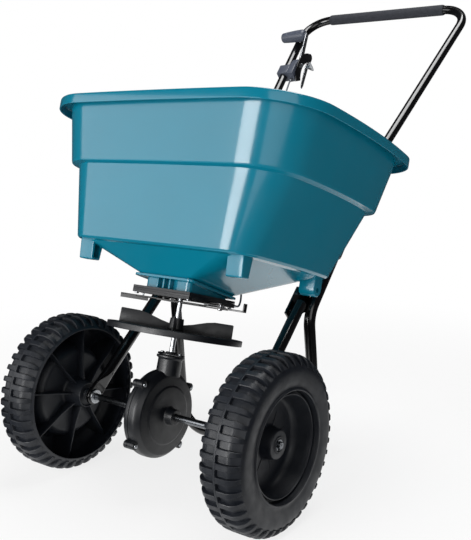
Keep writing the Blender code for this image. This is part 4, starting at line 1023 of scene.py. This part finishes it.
def strut(side):
    """A tube that flattens at its lower end into a round eye for the axle, in the level frame."""
    eye = Vector((0.1745 * side, 0, 0))
    top = Vector((0.1668 * side, 0.148, 0.243))
    along = (top - eye).normalized()
    across = Vector((1, 0, 0)) - along * along.x
    across.normalize()
    side_way = along.cross(across)
    radius = FRAME_TUBE_RADIUS
    turns = [math.radians(degrees) for degrees in range(6, 90, 12)]
    rows = [(-0.0165 * math.cos(a), 0.0165 * math.sin(a)) for a in turns]
    rows += [(0.0, 0.0165), (0.010, 0.0163), (0.020, 0.0158), (0.0245, 0.0152)]
    length = (top - eye).length
    rows += [(0.0245 + 0.0365 * i / 8, 0.0152 - 0.0041 * (i / 8) ** 0.8) for i in range(1, 9)]
    rows += [(0.12, radius), (length - 0.0012, radius), (length - 0.0004, radius * 0.96),
             (length, radius * 0.88)]
    rings = []
    for reach, deep in rows:
        blend = min(max((reach - 0.0245) / 0.0365, 0), 1)
        blend = blend * blend * (3 - 2 * blend)
        thick = 0.0041 + (min(deep, radius) - 0.0041) * blend
        if reach < -0.008:
            thick = 0.0041 * (0.80 + 0.20 * (deep / 0.0145))
        square = 0.30 + 0.70 * blend
        ring = []
        for k in range(36):
            a = math.tau * k / 36
            c, s = math.cos(a), math.sin(a)
            ring.append(eye + along * reach + across * thick * math.copysign(abs(c) ** square, c)
                        + side_way * deep * math.copysign(abs(s) ** square, s))
        rings.append(ring)
    return skin(rings)


class SPREADER_OT_tubes(bpy.types.Operator):
    """Builds the struts, the one-piece stand, the handle, its collars and its foam grip"""

    bl_idname = "spreader.tubes"
    bl_label = "Struts, stand and handle"

    def execute(self, context):
        for side, name in SIDES:
            piece(f"strut_{name}", strut(side), "black_powder_coat", [f"frame_strut_{name}"], LEVEL)
        stand, handle = [], []
        along = (HANDLE_FLARE - STAND_KNEE).normalized()
        for side, name in SIDES:
            joint = STAND_KNEE.lerp(HANDLE_FLARE, JOINT_PLACE)
            leg = [mirrored(joint, side), mirrored(STAND_KNEE, side), mirrored(STAND_FOOT, side)]
            stand += leg if side < 0 else leg[::-1]
            start = mirrored(joint + along * 0.0003, side)
            leg = [start, mirrored(HANDLE_FLARE, side), mirrored(HANDLE_TOP, side)]
            handle += leg if side < 0 else leg[::-1]
            bore, small = FRAME_TUBE_RADIUS + 0.0004, HANDLE_TUBE_RADIUS + 0.0006
            collar = lathe(
                (0.0003, bore, -0.024), (0.0008, 0.0138, -0.024), (0.0008, 0.0142, -0.020),
                (0.0008, 0.0142, 0.021), (0.0015, 0.0125, 0.026), (0.0003, small, 0.026),
                (0.0003, small, 0.0006), (0.0003, bore, 0.0006), steps=64)
            piece(f"collar_{name}", collar, "black_powder_coat", [f"handle_collar_{name}"],
                  GROUND @ facing(start, mirrored(along, side)))
        piece("stand_tube", tube(rounded_path(stand, (0.06, 0.055, 0.055, 0.06)), FRAME_TUBE_RADIUS),
              "black_powder_coat", ["stand_frame"], GROUND)
        piece("handle_tube", tube(rounded_path(handle, (0.12, 0.062, 0.062, 0.12)), HANDLE_TUBE_RADIUS),
              "black_powder_coat", ["handle_frame"], GROUND)
        small, half = HANDLE_TUBE_RADIUS + 0.0006, 0.155
        grip = lathe((0.0004, small, -half), (0.0012, 0.0116, -half), (0.0030, 0.0126, -half + 0.0035),
                     (0.0030, 0.0126, half - 0.0035), (0.0012, 0.0116, half), (0.0004, small, half), steps=64)
        piece("foam_sleeve", grip, "foam_grip", ["handle_grip"],
              GROUND @ Matrix.Translation((0, HANDLE_TOP.y, HANDLE_TOP.z)) @ ALONG_X)
        return {"FINISHED"}


# Flow lever and cable


def control_place():
    """The lever's frame on the left leg: X inboard along the pivot, Y back and down, Z up the leg."""
    low, high = mirrored(HANDLE_FLARE, -1), mirrored(HANDLE_TOP, -1)
    along = (high - low).normalized()
    place = low + (high - low) * (LEVER_HEIGHT - low.z) / (high.z - low.z)
    across = (Vector((1, 0, 0)) - along * along.x).normalized()
    down = along.cross(across)
    return GROUND @ Matrix.Translation(place) @ Matrix((across, down, along)).transposed().to_4x4()


class SPREADER_OT_lever(bpy.types.Operator):
    """Builds the flow lever: bracket, quadrant, arm, knob, rate stop and wing nut"""

    bl_idname = "spreader.lever"
    bl_label = "Flow lever"

    def execute(self, context):
        place = control_place()
        outline = [(-0.014, -0.042), (0.016, -0.042), (0.016, -0.012), (0.010, 0.014), (-0.010, 0.014),
                   (-0.014, -0.008)]
        block = slab(outline, 0.0125, 0.030, "YZX", edge=0.0018)
        saddle = slab(rectangle(-0.0145, 0.0145, -0.040, -0.008), -0.0145, 0.014, "YZX", edge=0.0018)
        bracket = carved(block, saddle, operation="UNION")
        bracket = carved(
            bracket, drill(HANDLE_TUBE_RADIUS + 0.0004, -0.06, 0.03), drill(0.0034, 0.0, 0.05, ALONG_X),
            drill(0.0032, -0.05, -0.036, Matrix.Translation((0.022, 0.006, 0))))
        piece("lever_bracket", bracket, "grey_plastic", ["control_bracket"], place)

        arm_outline = (arc((0, 0), 0.0092, 190, 350, 16) + [(0.0088, 0.006), (-0.0165, 0.090)]
                       + arc((-0.0240, 0.0905), 0.0072, 10, 160, 10) + [(-0.0088, 0.005)])
        arm = carved(slab(arm_outline, 0.0305, 0.0335, "YZX", edge=0.0007), drill(0.0034, 0.0, 0.05, ALONG_X))
        piece("lever_blade", arm, "zinc_plate", ["lever_arm"], place, body="lever")
        knob = lathe(
            (0, 0, -0.036), (0.0008, 0.0095, -0.036), (0.0015, 0.0123, -0.0335), (0.0010, 0.0135, -0.0200),
            (0.0006, 0.0136, -0.0192), (0.0006, 0.0131, -0.0188), (0.0006, 0.0131, -0.0180),
            (0.0006, 0.0137, -0.0176), (0.0060, 0.0149, 0.0060), (0.0030, 0.0149, 0.0240),
            (0.0030, 0.0118, 0.0300), (0, 0, 0.0300), steps=72)
        piece("lever_handle", knob, "grey_plastic", ["lever_knob"],
              place @ Matrix.Translation((0, -0.0265, 0.090)) @ ALONG_X, body="lever")

        tip = [(0.0170, 0.0672), (0.0250, 0.0685), (0.0305, 0.0640), (0.0318, 0.0560)]
        band = arc((0.062, 0.004), 0.076, 226, 130, 36) + tip + arc((0.062, 0.004), 0.052, 126, 222, 32)
        quadrant = carved(slab(band, 0.0338, 0.0362, "YZX", edge=0.0006), drill(0.0034, 0.0, 0.05, ALONG_X))
        piece("quadrant_band", quadrant, "black_powder_coat", ["quadrant_plate"], place)
        piece("pivot_hex", hex_bolt(0.010, 0.004, 0.020, 0.0031), "zinc_plate", ["pivot_bolt"],
              place @ facing((0.0365, 0, 0), (1, 0, 0)))

        leaf = [(0.0170, 0.0300), (0.0235, 0.0305), (0.0285, 0.0215), (0.0335, -0.0040), (0.0395, -0.0330),
                (0.0388, -0.0440), (0.0370, -0.0475), (0.0345, -0.0450), (0.0300, -0.0380), (0.0215, -0.0080),
                (0.0155, 0.0150), (0.0155, 0.0260)]
        stop = carved(slab(leaf, 0.0366, 0.0386, "YZX", edge=0.0005),
                      drill(0.0026, 0.0, 0.05, Matrix.Translation((0, 0.022, 0.020)) @ ALONG_X))
        piece("rate_leaf", stop, "zinc_plate", ["rate_stop"], place, body="stop")
        rings = []
        for x, core, reach, thick in ((0.0, 0.0053, 0.0053, 0.0053), (0.0015, 0.0054, 0.0056, 0.0050),
                                      (0.004, 0.0048, 0.0088, 0.0030), (0.007, 0.0042, 0.0118, 0.0020),
                                      (0.010, 0.0035, 0.0138, 0.0014), (0.0128, 0.0022, 0.0140, 0.0012),
                                      (0.0145, 0.0010, 0.0125, 0.0009)):
            ring = []
            for i in range(32):
                a = math.tau * i / 32
                along, up = math.cos(a), math.sin(a)
                waist = thick + (max(core, thick) - thick) * max(0.0, 1 - abs(along) * 1.8)
                ring.append((x, reach * along, waist * up))
            rings.append(ring)
        piece("wing_nut_cast", skin(rings), "zinc_plate", ["wing_nut"],
              place @ Matrix.Translation((0.0389, 0.022, 0.020)), body="stop_nut")
        return {"FINISHED"}


class SPREADER_OT_cable(bpy.types.Operator):
    """Runs the sheathed cable from the lever's bracket down behind the hopper to the gate's anchor"""

    bl_idname = "spreader.cable"
    bl_label = "Cable"

    def execute(self, context):
        place = control_place()
        level = [(-0.146, 0.400, 0.575), (-0.118, 0.338, 0.470), (-0.086, 0.292, 0.370),
                 (-0.050, 0.248, 0.290), (-0.022, 0.222, 0.243), (-0.005, 0.196, 0.2225),
                 (0.0, 0.178, 0.21855), (0.0, 0.1624, 0.21855)]
        points = [place @ Vector((0.022, 0.006, -0.0400)), place @ Vector((0.022, 0.006, -0.080))]
        points += [LEVEL @ Vector(point) for point in level]
        path = smooth_path(points)
        piece("cable_in_sheath", tube(path, 0.0020, 16), "cable_sheath", ["control_cable"])
        ends = []
        for start, towards in ((path[0], path[4]), (path[-1], path[-5])):
            sleeve = lathe((0.0003, 0.00205, 0.0008), (0.0004, 0.0030, 0.0008), (0.0004, 0.0030, 0.0120),
                           (0.0004, 0.0026, 0.0135), (0.0003, 0.00205, 0.0135), steps=32)
            ends.append(moved(sleeve, facing(start, towards - start)))
        piece("cable_ferrules", joined(*ends), "zinc_plate")
        return {"FINISHED"}


class SPREADER_OT_coating(bpy.types.Operator):
    """Gives the frame's remaining plain pieces their finishes"""

    bl_idname = "spreader.coating"
    bl_label = "Coat the rest"

    def execute(self, context):
        for slot, names in (
            ("moulded_black", ("outlet_plate", "gate_guide", "ring_gear")),
            ("zinc_plate", ("flow_gate", "hub_pin", "cable_anchor")),
            ("black_powder_coat", ("frame_plate_left", "frame_plate_right")),
            ("bright_steel", ("pinion_gear",)),
        ):
            for name in names:
                for holder in frame["nodes"][name].material_slots:
                    holder.material = shop()[slot]
        return {"FINISHED"}


# Studio


def aimed_light(context, name, place, target, size, power):
    """A rectangular soft light that faces a target."""
    light = bpy.data.lights.new(name, "AREA")
    light.shape = "RECTANGLE"
    light.size, light.size_y = size
    light.energy = power
    obj = bpy.data.objects.new(name, light)
    obj.location = place
    obj.rotation_euler = (Vector(target) - Vector(place)).to_track_quat("-Z", "Y").to_euler()
    context.collection.objects.link(obj)


class SPREADER_OT_stage(bpy.types.Operator):
    """Sets the pale floor, the soft lights and the camera"""

    bl_idname = "spreader.stage"
    bl_label = "Stage"

    def execute(self, context):
        studio = context.scene.spreader_studio
        # Painted studio floor: matt off-white that brightens into the backdrop away from the machine.
        paint = bpy.data.materials.new("matt_studio_paint")
        paint.use_nodes = True
        tree = paint.node_tree
        tree.nodes.clear()
        place = add(tree, "ShaderNodeTexCoord").outputs["Object"]
        roller = add(tree, "ShaderNodeTexNoise", {"Vector": place, "Scale": 400.0, "Detail": 2.0})
        nap = add(tree, "ShaderNodeBump", {"Height": roller.outputs[0], "Distance": 0.0002})
        matt = add(tree, "ShaderNodeBsdfDiffuse", {"Color": (*linear("F7F7F6"), 1), "Normal": nap.outputs[0]})
        glow = add(tree, "ShaderNodeEmission", {"Color": (1, 1, 1, 1), "Strength": 1.0})
        reach = add(tree, "ShaderNodeVectorMath", {0: place}, operation="LENGTH")
        fade = add(tree, "ShaderNodeMapRange", {"Value": reach.outputs["Value"], "From Min": 0.5,
                                                "From Max": 1.6, "To Min": 0.8},
                   interpolation_type="SMOOTHSTEP")
        blend = add(tree, "ShaderNodeMixShader", {0: fade.outputs[0], 1: matt.outputs[0], 2: glow.outputs[0]})
        add(tree, "ShaderNodeOutputMaterial", {"Surface": blend.outputs[0]})
        for name, inner, outer in (("floor", 0.0, FLOOR_RADIUS), ("backdrop", FLOOR_RADIUS, BACKDROP_RADIUS)):
            bm = turned([(inner, 0), (outer, 0), (outer, -0.01), (inner, -0.01)])
            bmesh.ops.recalc_face_normals(bm, faces=bm.faces)
            mesh = bpy.data.meshes.new(name)
            bm.to_mesh(mesh)
            bm.free()
            floor = bpy.data.objects.new(name, mesh)
            floor.location.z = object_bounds()[0].z - 0.0002
            context.collection.objects.link(floor)
            floor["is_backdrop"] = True
            mesh.materials.append(paint)
            # The far part stays out of the gloss, so that upright faces mirror a dim room.
            floor.visible_glossy = name == "floor"

        world = bpy.data.worlds.new("white_room")
        world.use_nodes = True
        tree = world.node_tree
        tree.nodes.clear()
        ray = add(tree, "ShaderNodeLightPath").outputs["Is Camera Ray"]
        seen = add(tree, "ShaderNodeMix", {0: ray, 6: (0.04, 0.04, 0.043, 1), 7: (1, 1, 1, 1)},
                   data_type="RGBA")
        sky = add(tree, "ShaderNodeBackground", {"Color": seen.outputs[2], "Strength": 1.0})
        add(tree, "ShaderNodeOutputWorld", {"Surface": sky.outputs[0]})
        context.scene.world = world
        context.scene.view_settings.view_transform = "Standard"

        aimed_light(context, "front_panel", (-0.25, -3.2, 0.8), (0, -0.3, 0.5), (1.7, 1.5), studio.key)
        aimed_light(context, "left_panel", (-2.3, -2.7, 1.15), (0, -0.3, 0.5), (2.4, 2.2), studio.veil)
        aimed_light(context, "fill", (2.4, -2.5, 1.7), (0, -0.2, 0.4), (2.4, 2.4), studio.fill)
        aimed_light(context, "overhead", (0.3, 0.2, 2.9), (0, -0.1, 0.4), (1.6, 1.6), studio.top)

        turn, down = studio.azimuth, studio.look_down
        camera = bpy.data.objects.new("camera", bpy.data.cameras.new("camera"))
        camera.data.lens = studio.lens
        camera.data.sensor_width = 36
        camera.location = CAMERA_PLACE
        away = Vector((math.sin(turn) * math.cos(down), -math.cos(turn) * math.cos(down), math.sin(down)))
        camera.rotation_euler = (-away).to_track_quat("-Z", "Y").to_euler()
        context.collection.objects.link(camera)
        context.scene.camera = camera
        return {"FINISHED"}


OPERATORS = (
    SPREADER_OT_hopper, SPREADER_OT_outlet, SPREADER_OT_spinner, SPREADER_OT_gearbox, SPREADER_OT_fasteners,
    SPREADER_OT_axle, SPREADER_OT_wheels, SPREADER_OT_tubes, SPREADER_OT_lever, SPREADER_OT_cable,
    SPREADER_OT_coating, SPREADER_OT_stage,
)
GROUPS = (("spreader_sizes", SpreaderSizes), ("spreader_colours", SpreaderColours),
          ("spreader_studio", SpreaderStudio))


class SPREADER_PT_parts(bpy.types.Panel):
    """Lists the spreader's pieces and settings"""

    bl_idname = "SPREADER_PT_parts"
    bl_label = "Broadcast spreader"
    bl_space_type = "VIEW_3D"
    bl_region_type = "UI"
    bl_category = "Spreader"

    def draw(self, context):
        for attribute, group in GROUPS:
            box = self.layout.box()
            for name in group.__annotations__:
                box.prop(getattr(context.scene, attribute), name)
        for operator in OPERATORS:
            self.layout.operator(operator.bl_idname)


def register():
    for attribute, group in GROUPS:
        bpy.utils.register_class(group)
        setattr(bpy.types.Scene, attribute, PointerProperty(type=group))
    for kind in (*OPERATORS, SPREADER_PT_parts):
        bpy.utils.register_class(kind)


def unregister():
    for kind in (SPREADER_PT_parts, *OPERATORS[::-1]):
        bpy.utils.unregister_class(kind)
    for attribute, group in GROUPS[::-1]:
        delattr(bpy.types.Scene, attribute)
        bpy.utils.unregister_class(group)


def main():
    register()
    for operator in OPERATORS:
        group, name = operator.bl_idname.split(".")
        getattr(getattr(bpy.ops, group), name)()


if __name__ == "__main__":
    main()
